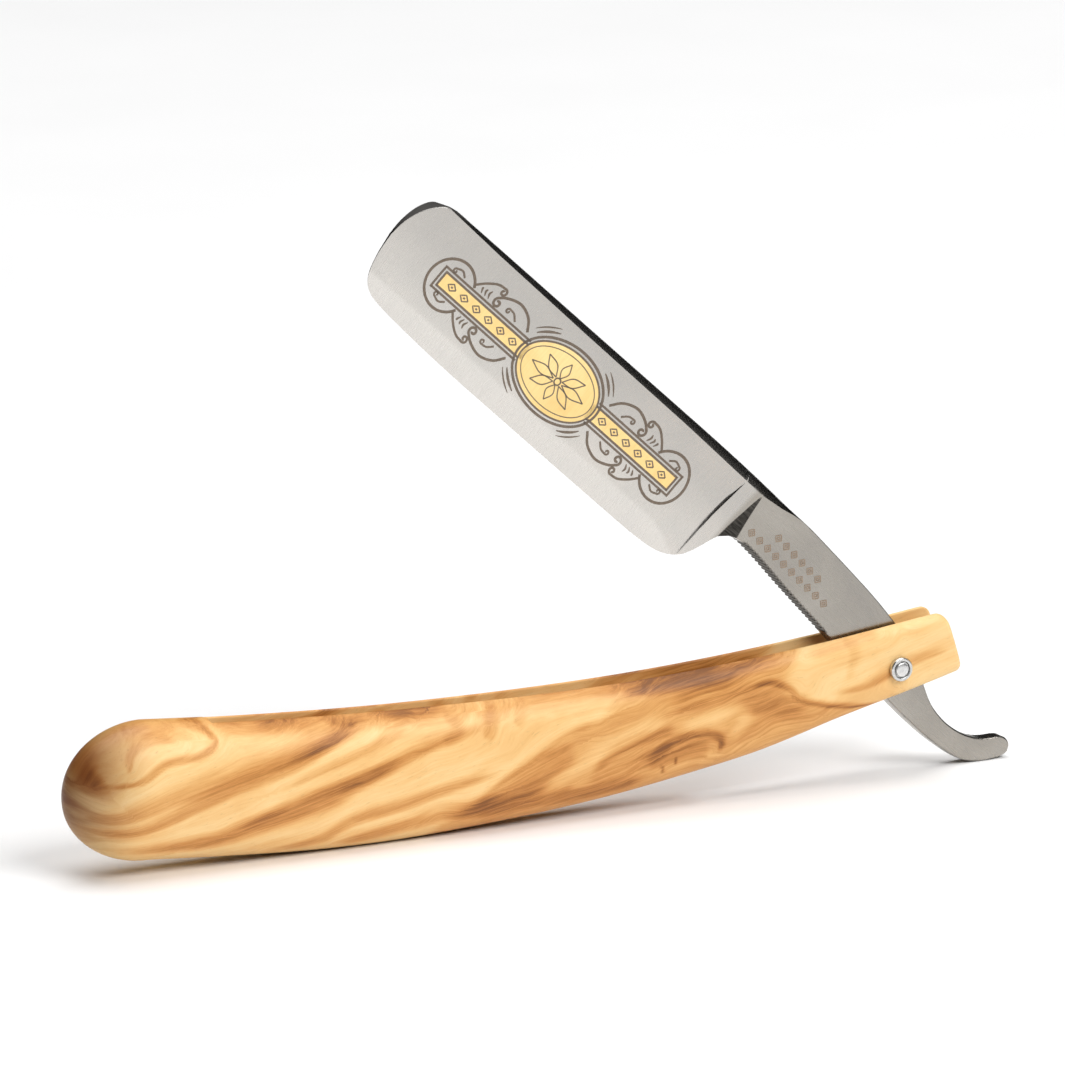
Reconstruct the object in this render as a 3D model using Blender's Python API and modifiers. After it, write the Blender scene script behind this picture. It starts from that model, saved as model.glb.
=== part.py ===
"""Straight razor: one-piece wooden handle with a milled slot, one forged blade, riveted pivot.

Metres, +Z up.  The razor stands on its handle's belly and on the tang's tail, half open,
with its flat plane upright in XZ and the front side towards -Y.  The origin lies on the
surface it stands on, under the middle of its bounding box.
"""
import math

import bmesh
import bpy
import numpy as np

MM = 0.001

# ---------------------------------------------------------------- driving dimensions (mm)
OPEN_ANGLE = 42.3            # blade's angle above its closed position, degrees
PIVOT_X = 59.11              # pivot axis: from the middle of the whole razor's length
PIVOT_Z = 17.15              # pivot axis: above the surface that the razor stands on

HANDLE_BUTT = -139.1         # butt's far end, from the pivot
HANDLE_ROUND = 13.1          # length of the butt's rounded end
SLOT_HALF = 2.15             # half width of the milled slot
SLOT_END = -115.4            # slot's blind end, from the pivot
SLOT_FLOOR = -12.2           # slot's floor, from the pivot
SLOT_CORNER = 5.5            # radius left by the cutter at the floor's blind end

SPINE = 8.2                  # blade's back above the pivot
EDGE = -10.95                # cutting edge below the pivot
HOLLOW_POWER = 3.6           # how fast the hollow grind thins from the ridge down
EDGE_HALF = 0.06             # half thickness just above the edge
TANG_HALF = 1.5              # half thickness of the tang's parallel part
TAIL_HALF = 1.25             # half thickness at the tail's tip
SHOULDER_HALF = 1.8          # half thickness of the tang next to the shoulder
APEX_HALF = 2.5              # half thickness where shoulder and ridge meet
JIMP_PITCH = 0.86            # distance between two notches under the tang
JIMP_DEPTH = 0.28            # depth of a notch
JIMP_START = 13.0            # first notch, from the pivot
JIMP_COUNT = 24

PIN_RADIUS = 0.80            # pivot pin's shank
HOLE_RADIUS = 0.95  # holes that the shank passes through
PIN_HEAD_RADIUS = 1.05  # peened ends of the pin
PIN_HEAD_HEIGHT = 0.42
COLLAR_RADIUS = 1.85         # round collars under the peened ends
COLLAR_HEIGHT = 0.80  
COLLAR_CUP_RADIUS = 1.25     # recess in the collar's outer face
COLLAR_CUP_DEPTH = 0.35
COLLAR_BASE = 4.15  # collar's inner face, from the middle plane
WASHER_RADIUS = 3.0          # thin washers between tang and handle
WASHER_THICK = 0.30  
WASHER_INNER_FACE = 1.60  # washer's inner face, from the middle plane
HEAD_GAP = 0.10              # between a peened end and the collar's recess

# ------------------------------------------- outlines, mm from the pivot, blade closed
# Handle: its top and bottom lines from the rounded butt to the pivot end.
HANDLE_TOP = [(-126, 6.2), (-112, 5.05), (-98, 4.2), (-84, 3.6), (-70, 3.35), (-56, 3.35),
              (-42, 3.6), (-28, 4.25), (-14, 5.3), (-2, 6.5), (12, 8.0)]
HANDLE_BOTTOM = [(-126, -15.1), (-113, -16.1), (-98, -17.0), (-84, -17.13), (-66, -16.3),
                 (-50, -14.9), (-36, -12.9), (-23, -10.6), (-10, -7.2), (1, -4.35), (12, -1.4)]
HANDLE_HALF_THICKNESS = [(-126, 6.6), (-108, 6.6), (-85, 6.2), (-60, 5.6), (-35, 4.9),
                         (-12, 4.3), (0, 4.05), (12, 3.9)]
HANDLE_SQUARENESS = [(-126, 2.1), (-84, 2.25), (-50, 2.6), (-20, 3.4), (12, 4.5)]
HANDLE_END = [(8.3, 7.6), (10.95, -1.0)]      # upper and lower corner of the pivot end

# Blade: distance from the pivot towards the nose, and height above the pivot.
UPPER_LINE = [(-25.98, 2.0), (-25.6, 2.85), (-24.9, 3.3), (-24.0, 3.4), (-23.0, 2.75),
              (-22.0, 1.6), (-20.6, 0.5), (-18.9, -0.3), (-16.9, -0.85), (-14.2, -1.12),
              (-11.4, -0.85), (-9.6, -0.35), (-7.2, 0.8), (-3.5, 2.9), (0.5, 4.45),
              (7.5, 5.8), (17.2, 6.8), (27.3, 7.55), (36.5, 8.0), (46, SPINE), (76, SPINE),
              (104, SPINE), (107.3, 8.15), (108.9, 7.8), (110.4, 6.95), (111.95, 5.1),
              (112.9, 3.1), (113.4, 1.2), (113.6, -1.0)]
LOWER_LINE = [(-25.98, 2.0), (-25.9, 1.1), (-25.3, 0.15), (-24.3, -1.0), (-22.8, -2.4),
              (-20.1, -3.9), (-15.5, -4.6), (-10.3, -4.75), (-3.0, -4.4), (12.8, -3.05),
              (23.2, -2.05), (31.0, -1.15), (34.6, -1.05), (36.4, -1.55), (37.6, -2.7),
              (38.5, -4.7), (39.6, -6.9), (40.9, -8.6), (42.8, -9.8), (45.1, -10.5),
              (49.0, -10.86), (56, EDGE), (76, EDGE), (92, -10.88), (102.3, -10.53),
              (107.8, -10.15), (110.0, -9.75), (111.5, -8.9), (112.5, -7.5), (113.25, -4.7),
              (113.6, -1.0)]


# ---------------------------------------------------------------- curves and small helpers
def spline(knots, samples):
    """Points on a smooth curve through the knots: centripetal Catmull-Rom."""
    pts = np.array(knots, dtype=float)
    first = 2.0 * pts[0] - pts[1]
    last = 2.0 * pts[-1] - pts[-2]
    pts = np.vstack([first, pts, last])
    out = []
    for a, b, c, d in zip(pts[:-3], pts[1:-2], pts[2:-1], pts[3:]):
        t0 = 0.0
        t1 = t0 + math.sqrt(np.linalg.norm(b - a))
        t2 = t1 + math.sqrt(np.linalg.norm(c - b))
        t3 = t2 + math.sqrt(np.linalg.norm(d - c))
        for t in np.linspace(t1, t2, samples, endpoint=False):
            ab = ((t1 - t) * a + (t - t0) * b) / (t1 - t0)
            bc = ((t2 - t) * b + (t - t1) * c) / (t2 - t1)
            cd = ((t3 - t) * c + (t - t2) * d) / (t3 - t2)
            abc = ((t2 - t) * ab + (t - t0) * bc) / (t2 - t0)
            bcd = ((t3 - t) * bc + (t - t1) * cd) / (t3 - t1)
            out.append(((t2 - t) * abc + (t - t1) * bcd) / (t2 - t1))
    out.append(pts[-2])
    return np.array(out)


def height_function(knots):
    """Height along a smooth line through the knots, as a function of its first value."""
    line = spline(knots, 24)
    return lambda x: float(np.interp(x, line[:, 0], line[:, 1]))


def smooth_step(x, low, high):
    t = min(1.0, max(0.0, (x - low) / (high - low)))
    return t * t * (3.0 - 2.0 * t)


def material(name, colour, roughness, metallic):
    mat = bpy.data.materials.new(name)
    mat.use_nodes = True
    shader = mat.node_tree.nodes["Principled BSDF"]
    shader.inputs["Base Color"].default_value = (*colour, 1.0)
    shader.inputs["Roughness"].default_value = roughness
    shader.inputs["Metallic"].default_value = metallic
    mat.diffuse_color = (*colour, 1.0)
    return mat


def add_object(name, mesh, collection, mat, angle=40.0):
    mesh.shade_smooth()
    mesh.set_sharp_from_angle(angle=math.radians(angle))
    obj = bpy.data.objects.new(name, mesh)
    collection.objects.link(obj)
    if mat is not None:
        mesh.materials.append(mat)
    return obj


def skin_rings(name, rings):
    """A closed skin over a row of rings with equal numbers of points."""
    mesh = bpy.data.meshes.new(name)
    bm = bmesh.new()
    loops = [[bm.verts.new(p) for p in ring] for ring in rings]
    count = len(loops[0])
    for near, far in zip(loops[:-1], loops[1:]):
        for i in range(count):
            j = (i + 1) % count
            bm.faces.new((near[i], near[j], far[j], far[i]))
    bm.faces.new(list(reversed(loops[0])))
    bm.faces.new(loops[-1])
    bmesh.ops.recalc_face_normals(bm, faces=bm.faces)
    bmesh.ops.triangulate(bm, faces=[f for f in bm.faces if len(f.verts) == 4])
    bm.to_mesh(mesh)
    bm.free()
    return mesh


def cut(obj, cutter):
    mod = obj.modifiers.new("cut_" + cutter.name, "BOOLEAN")
    mod.operation = "DIFFERENCE"
    mod.object = cutter


def hide(obj):
    obj.hide_render = True
    obj.display_type = "WIRE"


def cylinder(name, radius, length, segments, collection):
    """A round bar along Y, centred on its origin."""
    mesh = bpy.data.meshes.new(name)
    bm = bmesh.new()
    bmesh.ops.create_cone(bm, cap_ends=True, segments=segments, radius1=radius,
                          radius2=radius, depth=length)
    turn = [(v, (v.co.x, -v.co.z, v.co.y)) for v in bm.verts]
    for v, co in turn:
        v.co = co
    bm.to_mesh(mesh)
    bm.free()
    obj = bpy.data.objects.new(name, mesh)
    collection.objects.link(obj)
    return obj


def turned(name, profile, collection, mat, segments=32):
    """A solid of revolution about the Y axis; profile is (radius, y), top to bottom."""
    mesh = bpy.data.meshes.new(name)
    bm = bmesh.new()
    verts = [bm.verts.new((r * MM, 0.0, h * MM)) for r, h in profile]
    for a, b in zip(verts[:-1], verts[1:]):
        bm.edges.new((a, b))
    if profile[0][0] > 0.0:
        bm.edges.new((verts[-1], verts[0]))
    bm.to_mesh(mesh)
    bm.free()
    obj = add_object(name, mesh, collection, mat)
    mod = obj.modifiers.new("turn", "SCREW")
    mod.axis = "Z"
    mod.steps = segments
    mod.render_steps = segments
    mod.use_merge_vertices = True
    mod.merge_threshold = 0.00001
    obj.rotation_euler = (math.radians(90.0), 0.0, 0.0)
    return obj


# ---------------------------------------------------------------- handle
def handle_ring(x, scale, shear, top, bottom, half, square, count=32):
    """One rounded section across the handle."""
    middle = 0.5 * (top + bottom)
    tall = 0.5 * (top - bottom) * scale
    wide = half * scale
    ring = []
    for i in range(count):
        a = 2.0 * math.pi * (i + 0.5) / count
        c, s = math.cos(a), math.sin(a)
        y = wide * math.copysign(abs(c) ** (2.0 / square), c)
        z = tall * math.copysign(abs(s) ** (2.0 / square), s)
        ring.append(((x - shear * z) * MM, y * MM, (middle + z) * MM))
    return ring


def handle_mesh():
    top = height_function(HANDLE_TOP)
    bottom = height_function(HANDLE_BOTTOM)
    half = height_function(HANDLE_HALF_THICKNESS)
    square = height_function(HANDLE_SQUARENESS)
    centre = HANDLE_BUTT + HANDLE_ROUND
    rings = []
    for a in (86.0, 78.0, 69.0, 60.0, 50.0, 40.0, 30.0, 20.0, 10.0):
        x = centre - HANDLE_ROUND * math.sin(math.radians(a))
        scale = math.cos(math.radians(a))
        rings.append(handle_ring(x, scale, 0.0, top(centre), bottom(centre), half(centre),
                                 square(centre)))
    (x_up, z_up), (x_low, z_low) = HANDLE_END
    end_shear = (x_low - x_up) / (z_up - z_low)
    x_end = 0.5 * (x_up + x_low)
    for x in np.linspace(centre, x_end, 34):
        lean = end_shear * smooth_step(x, x_end - 22.0, x_end)
        rings.append(handle_ring(x, 1.0, lean, top(x), bottom(x), half(x), square(x)))
    # the pivot end is eased over its last 0.8 mm
    for step, scale in ((0.45, 0.975), (0.8, 0.9)):
        rings.append(handle_ring(x_end + step, scale, end_shear, top(x_end), bottom(x_end),
                                 half(x_end), square(x_end)))
    return skin_rings("handle", rings)


def slot_cutter(collection):
    """Side outline of the milled slot, drawn as a flat curve and thickened across."""
    corner = []
    for a in np.linspace(math.pi, 1.5 * math.pi, 9):
        corner.append((SLOT_END + SLOT_CORNER * (1.0 + math.cos(a)),
                       SLOT_FLOOR + SLOT_CORNER * (1.0 + math.sin(a))))
    outline = [(SLOT_END, 20.0)] + corner + [(25.0, SLOT_FLOOR), (25.0, 20.0)]
    curve = bpy.data.curves.new("slot_outline", "CURVE")
    curve.dimensions = "2D"
    curve.fill_mode = "BOTH"
    curve.extrude = SLOT_HALF * MM
    line = curve.splines.new("POLY")
    line.points.add(len(outline) - 1)
    for point, (x, z) in zip(line.points, outline):
        point.co = (x * MM, z * MM, 0.0, 1.0)
    line.use_cyclic_u = True
    guide = bpy.data.objects.new("slot_outline", curve)
    collection.objects.link(guide)
    bpy.context.view_layer.update()
    evaluated = guide.evaluated_get(bpy.context.evaluated_depsgraph_get())
    mesh = bpy.data.meshes.new_from_object(evaluated)
    bm = bmesh.new()
    bm.from_mesh(mesh)
    bmesh.ops.remove_doubles(bm, verts=bm.verts, dist=0.000001)
    bmesh.ops.recalc_face_normals(bm, faces=bm.faces)
    bm.to_mesh(mesh)
    bm.free()
    bpy.data.objects.remove(guide)
    cutter = bpy.data.objects.new("slot_cutter", mesh)
    cutter.rotation_euler = (math.radians(90.0), 0.0, 0.0)
    collection.objects.link(cutter)
    return cutter


def make_handle(parts, cutters, pivot):
    wood = material("olive_wood", (0.72, 0.42, 0.17), 0.42, 0.0)
    handle = add_object("handle", handle_mesh(), parts, wood)
    slot = slot_cutter(cutters)
    bore = cylinder("handle_bore", HOLE_RADIUS * MM, 30.0 * MM, 32, cutters)
    for tool in (slot, bore):
        tool.location = pivot
        hide(tool)
        cut(handle, tool)
    handle.location = pivot
    return handle


# ---------------------------------------------------------------- blade
def blade_line(knots, at_nose):
    """Upper or lower outline; its steep ends are read along the line, not across it."""
    line = spline(knots, 16)
    keep = [line[0]]
    for point in line[1:]:
        if point[0] > keep[-1][0] + 1e-6:
            keep.append(point)
    keep = np.array(keep)
    return lambda u: float(np.interp(u, keep[:, 0], keep[:, 1]))


def ridge_height(u):
    """Where the flat face ends and the rounded back begins."""
    return float(np.interp(u, (26.0, 29.6, 32.5, 36.6, 42.0, 54.0, 78.0, 106.0, 108.0),
                           (7.35, 7.05, 6.70, 6.25, 6.30, 6.60, 6.80, 7.2, 8.1)))


def ridge_half(u):
    """Half thickness along the ridge, the blade's widest line."""
    return float(np.interp(u, (38.0, 42.0, 114.0), (APEX_HALF, 2.65, 2.3)))


def hollow_half(u, v):
    """Half thickness of the hollow-ground blade."""
    ridge = ridge_height(min(u, 106.0))
    share = (min(v, ridge) - EDGE) / (ridge - EDGE)
    return EDGE_HALF + (ridge_half(u) - EDGE_HALF) * max(0.0, share) ** HOLLOW_POWER


def rib_half(u, v):
    """Half thickness of the rib between the grind and the tang, thin at the heel."""
    return float(np.interp(v, (-11.0, -9.5, -8.0, -3.0, 4.0, 6.0),
                           (0.2, 0.6, 1.1, 1.85, 1.95, APEX_HALF)))


def tang_half(u, v):
    """Half thickness of tang and tail, swelling towards the shoulder's upper side."""
    flat = float(np.interp(u, (-26.0, -8.0, 20.0, 33.0),
                           (TAIL_HALF, TANG_HALF, TANG_HALF, SHOULDER_HALF)))
    upper = min(1.0, max(0.0, (v + 1.0) / (APEX + 1.0)))
    return flat + smooth_step(u, 24.0, 38.0) * upper * upper * (APEX_HALF - SHOULDER_HALF)


# A station is (distance from the pivot at the height of the shoulder's apex, lean per mm
# below it, share of hollow, share of rib).  What is left is tang.
APEX = 5.75
SHOULDER = [(34.8, -0.04, 0.0, 0.0), (36.2, -0.09, 0.0, 0.0), (37.75, -0.146, 0.0, 0.0),
            (38.0, 0.09, 0.0, 1.0), (39.2, 0.07, 0.0, 1.0), (40.3, 0.06, 0.0, 1.0),
            (40.5, 0.06, 0.2, 0.8), (40.85, 0.06, 0.8, 0.2), (41.15, 0.06, 1.0, 0.0),
            (42.6, 0.05, 1.0, 0.0), (44.4, 0.03, 1.0, 0.0), (46.8, 0.0, 1.0, 0.0)]


def stations():
    tail_tip = LOWER_LINE[0][0]
    nose_tip = LOWER_LINE[-1][0]
    row = []
    for a in (4.0, 20.0, 36.0, 52.0, 70.0, 90.0):
        row.append((tail_tip + 2.6 * (1.0 - math.cos(math.radians(a))), 0.0, 0.0, 0.0, 0.0))
    for u in np.arange(-22.0, JIMP_START - 0.5, 1.75):
        row.append((float(u), 0.0, 0.0, 0.0, 0.0))
    for k in range(JIMP_COUNT):
        row.append((JIMP_START + k * JIMP_PITCH, 0.0, 0.0, 0.0, 0.0))
        row.append((JIMP_START + (k + 0.5) * JIMP_PITCH, 0.0, 0.0, 0.0, JIMP_DEPTH))
    for u, lean, hollow, rib in SHOULDER:
        row.append((u, lean, hollow, rib, 0.0))
    for u in (50.0, 56.0, 64.0, 74.0, 84.0, 92.0, 98.0, 102.0, 105.0):
        row.append((u, 0.0, 1.0, 0.0, 0.0))
    for a in (90.0, 76.0, 63.0, 51.0, 40.0, 30.0, 20.0, 10.0, 3.0):
        row.append((nose_tip - 6.6 * (1.0 - math.cos(math.radians(a))), 0.0, 1.0, 0.0, 0.0))
    return row


def blade_ring(station, upper, lower):
    u0, lean, hollow, rib, notch = station
    v_top = upper(u0)
    u_low = u0
    for _ in range(8):
        v_low = lower(u_low) + notch
        u_low = u0 + lean * max(0.0, APEX - v_low)
    tang = 1.0 - hollow - rib

    def half(v):
        u = u0 + lean * max(0.0, APEX - v)
        return hollow * hollow_half(u, v) + rib * rib_half(u, v) + tang * tang_half(u, v)

    # back: fully rounded along the blade, only eased on tang, tail and nose
    full = smooth_step(u0, 25.0, 33.0) * (1.0 - smooth_step(u0, 106.5, 108.5))
    drop_top = min(max(v_top - ridge_height(u0), 0.12), 0.3 * (v_top - v_low)) * full
    drop_top += (1.0 - full) * min(0.25, 0.1 * (v_top - v_low))
    ease_top = full * half(v_top - drop_top) + (1.0 - full) * min(0.25, 0.4 * half(v_top))
    thin = smooth_step(u0, 40.0, 46.0)
    drop_low = (1.0 - thin) * min(0.3, 0.1 * (v_top - v_low)) + thin * 0.08
    ease_low = (1.0 - thin) * min(0.3, 0.5 * half(v_low)) + thin * 0.8 * half(v_low)

    near = []
    for a in (0.0, 22.5, 45.0, 67.5, 90.0):
        s, c = math.sin(math.radians(a)), math.cos(math.radians(a))
        widest = half(v_top - drop_top)
        near.append((widest - ease_top * (1.0 - s), v_top - drop_top * (1.0 - c)))
    if full > 0.999:
        near[0] = (0.0, v_top)
    face_top = v_top - drop_top
    face_low = v_low + drop_low
    for share in (0.12, 0.26, 0.42, 0.6, 0.8):
        v = face_top + (face_low - face_top) * share
        near.append((half(v), v))
    for a in (0.0, 45.0, 90.0):
        s, c = math.sin(math.radians(a)), math.cos(math.radians(a))
        near.append((half(face_low) - ease_low * (1.0 - c), face_low - drop_low * s))
    points = near + [(-t, v) for t, v in reversed(near)]
    if full > 0.999:
        points = points[:-1]
        points.insert(1, (0.5 * (near[0][0] + near[1][0]), 0.5 * (near[0][1] + near[1][1])))
    ring = []
    for t, v in points:
        u = u0 + lean * max(0.0, APEX - v)
        ring.append((-u * MM, -t * MM, v * MM))
    return ring


def make_blade(parts, cutters, pivot):
    steel = material("blade_steel", (0.62, 0.60, 0.58), 0.28, 1.0)
    upper = blade_line(UPPER_LINE, True)
    lower = blade_line(LOWER_LINE, False)
    rings = [blade_ring(s, upper, lower) for s in stations()]
    blade = add_object("blade", skin_rings("blade", rings), parts, steel, angle=30.0)
    bore = cylinder("tang_bore", HOLE_RADIUS * MM, 12.0 * MM, 32, cutters)
    turn = (0.0, math.radians(OPEN_ANGLE), 0.0)
    for obj in (blade, bore):
        obj.location = pivot
        obj.rotation_euler = turn
    hide(bore)
    cut(blade, bore)
    return blade


# ---------------------------------------------------------------- pivot hardware
def collar_profile():
    """Cupped collar with a stepped rim: outer face up, from the bore's edge outwards."""
    top = COLLAR_BASE + COLLAR_HEIGHT
    cup = top - COLLAR_CUP_DEPTH
    return [(HOLE_RADIUS, cup), (COLLAR_CUP_RADIUS - 0.08, cup), (COLLAR_CUP_RADIUS, cup + 0.1),
            (COLLAR_CUP_RADIUS + 0.05, top - 0.05), (COLLAR_CUP_RADIUS + 0.12, top),
            (COLLAR_RADIUS - 0.2, top), (COLLAR_RADIUS - 0.06, top - 0.08),
            (COLLAR_RADIUS, top - 0.24), (COLLAR_RADIUS, COLLAR_BASE), (HOLE_RADIUS, COLLAR_BASE)]


def pin_profile():
    """Shank with a domed, peened head at each end."""
    head_base = COLLAR_BASE + COLLAR_HEIGHT - COLLAR_CUP_DEPTH + HEAD_GAP
    upper = []
    for a in (90.0, 70.0, 50.0, 30.0, 10.0):
        s, c = math.sin(math.radians(a)), math.cos(math.radians(a))
        upper.append((PIN_HEAD_RADIUS * c, head_base + PIN_HEAD_HEIGHT * (0.25 + 0.75 * s)))
    upper[0] = (0.0, upper[0][1])
    upper += [(PIN_HEAD_RADIUS, head_base), (PIN_RADIUS, head_base)]
    return upper + [(r, -h) for r, h in reversed(upper)]


def washer_profile():
    outer_face = WASHER_INNER_FACE + WASHER_THICK
    return [(HOLE_RADIUS, outer_face), (WASHER_RADIUS, outer_face),
            (WASHER_RADIUS, WASHER_INNER_FACE), (HOLE_RADIUS, WASHER_INNER_FACE)]


def make_pivot(parts, pivot):
    bright = material("pin_steel", (0.80, 0.80, 0.79), 0.22, 1.0)
    ring = material("collar_steel", (0.74, 0.74, 0.73), 0.25, 1.0)
    brass = material("washer_brass", (0.70, 0.52, 0.24), 0.35, 1.0)
    turned("pivot_pin", pin_profile(), parts, bright, 32).location = pivot
    for side, suffix in ((1.0, "front"), (-1.0, "back")):
        for name, profile, mat in (("pin_collar_", collar_profile(), ring),
                                   ("washer_", washer_profile(), brass)):
            piece = turned(name + suffix, profile, parts, mat, 32)
            piece.location = pivot
            piece.rotation_euler = (side * math.radians(90.0), 0.0, 0.0)


def main():
    for obj in list(bpy.data.objects):
        bpy.data.objects.remove(obj)
    parts = bpy.data.collections.new("straight_razor")
    cutters = bpy.data.collections.new("cutters")
    for collection in (parts, cutters):
        bpy.context.scene.collection.children.link(collection)
    pivot = (PIVOT_X * MM, 0.0, PIVOT_Z * MM)
    make_handle(parts, cutters, pivot)
    make_blade(parts, cutters, pivot)
    make_pivot(parts, pivot)


main()
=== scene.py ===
"""Looks for the straight razor: fine meshes, olive wood, ground steel, gilt ornament, studio."""
import math

import bmesh
import bpy
import numpy as np
from mathutils import Matrix, Vector


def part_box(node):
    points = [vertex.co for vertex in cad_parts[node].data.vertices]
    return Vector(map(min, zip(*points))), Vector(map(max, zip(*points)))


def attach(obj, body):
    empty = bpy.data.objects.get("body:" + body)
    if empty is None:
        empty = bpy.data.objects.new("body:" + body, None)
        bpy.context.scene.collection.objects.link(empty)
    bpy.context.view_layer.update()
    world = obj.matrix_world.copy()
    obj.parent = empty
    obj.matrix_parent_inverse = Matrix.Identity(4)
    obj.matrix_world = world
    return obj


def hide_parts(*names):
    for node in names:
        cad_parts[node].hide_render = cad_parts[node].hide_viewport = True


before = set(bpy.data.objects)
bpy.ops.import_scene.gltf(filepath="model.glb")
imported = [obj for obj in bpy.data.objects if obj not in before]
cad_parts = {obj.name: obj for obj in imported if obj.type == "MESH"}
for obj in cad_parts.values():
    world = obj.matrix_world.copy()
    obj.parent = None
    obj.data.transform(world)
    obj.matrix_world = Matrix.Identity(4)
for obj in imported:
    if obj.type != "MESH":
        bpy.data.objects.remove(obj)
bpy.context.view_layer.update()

MM = 0.001
WELD = 2e-6  # points closer than this are one, m
# edges that turn more sharply than this stay crisp, degrees
HANDLE_CREASE, BLADE_CREASE, TURNED_CREASE = 40.0, 24.0, 50.0
OPEN_ANGLE = 42.3
PIVOT = (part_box("pivot_pin")[0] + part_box("pivot_pin")[1]) / 2

# ---- dimensions in mm from the pivot: x along the handle, u along the blade, v across it
HANDLE_BUTT = -139.1
HANDLE_ROUND = 13.1
SLOT_HALF = 2.15
SLOT_BUTT_HALF = 1.62  # the slot's half width near the butt
SLOT_END = -115.4
SLOT_FLOOR = -12.2
SLOT_CORNER = 5.5  # the curve from its floor up to its blind end
SLOT_FILLET = 0.35  # between its floor and its walls
LIP_ROUND = 0.30  # softened edges of the slot
STEP = 0.42  # spacing of the handle's sections
END_ROUND = 0.75  # softened edges of the pivot end
END_TOP_ROUND = 1.75  # its upper corner
END_LOW_ROUND = 0.95  # its lower corner
END_BULGE = 0.35  # how far the end's middle stands out past its corners' mean
END_LEAN_REACH = 22.0  # length over which the sections lean into the slanted end
SPINE = 8.2  # v of the back
EDGE = -10.95  # v of the cutting edge
HOLLOW_POWER = 3.6  # the higher, the hollower the grind
EDGE_HALF = 0.04
TANG_HALF = 1.5
TAIL_HALF = 1.25
SHOULDER_HALF = 1.8
APEX_HALF = 2.5
APEX = 6.3  # v of the ridge where hollow, rib and tang meet
TAIL_REACH = 2.6  # length of the tail's rounded tip
NOSE_REACH = 6.6  # length of the nose's rounding
JIMP_PITCH = 0.86  # notches under the tang
JIMP_DEPTH = 0.30
JIMP_START = 13.0
JIMP_COUNT = 24
HOLE_RADIUS = 0.95
PIN_RADIUS = 0.80
PIN_HEAD_RADIUS = 1.05
PIN_HEAD_HEIGHT = 0.42
COLLAR_RADIUS = 1.85
COLLAR_HEIGHT = 0.80
COLLAR_CUP_RADIUS = 1.25
COLLAR_CUP_DEPTH = 0.35
COLLAR_BASE = 4.15
WASHER_RADIUS = 3.0
WASHER_THICK = 0.30
WASHER_INNER_FACE = 1.60
HEAD_GAP = 0.10

# The handle's side outline, half thickness and squareness (its section's exponent) over x
HANDLE_TOP = [(-126, 6.2), (-112, 5.05), (-98, 4.2), (-84, 3.6), (-70, 3.35), (-56, 3.35),
              (-42, 3.6), (-28, 4.25), (-14, 5.3), (-2, 6.5), (12, 8.0)]
HANDLE_BOTTOM = [(-126, -15.1), (-113, -16.1), (-98, -17.0), (-84, -17.13), (-66, -16.3),
                 (-50, -14.9), (-36, -12.9), (-23, -10.6), (-10, -7.2), (1, -4.35), (12, -1.4)]
HANDLE_HALF_THICKNESS = [(-126, 6.6), (-108, 6.6), (-85, 6.2), (-60, 5.6), (-35, 4.9),
                         (-12, 4.3), (0, 4.05), (12, 3.9)]
HANDLE_SQUARENESS = [(-126, 2.1), (-84, 2.25), (-50, 2.6), (-20, 3.4), (12, 4.5)]
# Upper and lower corner of its slanted end
HANDLE_END = [(8.3, 7.6), (10.95, -1.0)]

# The outline of tail, tang and blade (u, v)
UPPER_LINE = [(-25.98, 2.0), (-25.6, 2.85), (-24.8, 3.2), (-24.0, 3.15), (-23.0, 2.5),
              (-22.0, 1.52), (-20.6, 0.48), (-18.9, -0.3), (-16.9, -0.85), (-14.2, -1.12),
              (-11.4, -0.85), (-9.6, -0.35), (-7.2, 0.8), (-3.5, 2.9), (0.5, 4.45),
              (7.5, 5.8), (17.2, 6.8), (27.3, 7.55), (36.5, 8.0), (46, SPINE), (76, SPINE),
              (104, SPINE), (107.3, 8.15), (108.9, 7.8), (110.4, 6.95), (111.95, 5.1),
              (112.9, 3.1), (113.4, 1.2), (113.6, -1.0)]
LOWER_LINE = [(-25.98, 2.0), (-25.9, 1.1), (-25.3, 0.15), (-24.3, -1.0), (-22.8, -2.4),
              (-20.1, -3.9), (-15.5, -4.6), (-10.3, -4.75), (-3.0, -4.4), (12.8, -3.05),
              (23.2, -2.05), (31.0, -1.15), (34.6, -1.05), (36.4, -1.55), (37.6, -2.7),
              (38.5, -4.7), (39.6, -6.9), (40.9, -8.6), (42.8, -9.8), (45.1, -10.5),
              (49.0, -10.86), (56, EDGE), (76, EDGE), (92, -10.88), (102.3, -10.53),
              (107.8, -10.15), (110.0, -9.75), (111.5, -8.9), (112.5, -7.5), (113.25, -4.7),
              (113.6, -1.0)]

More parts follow.
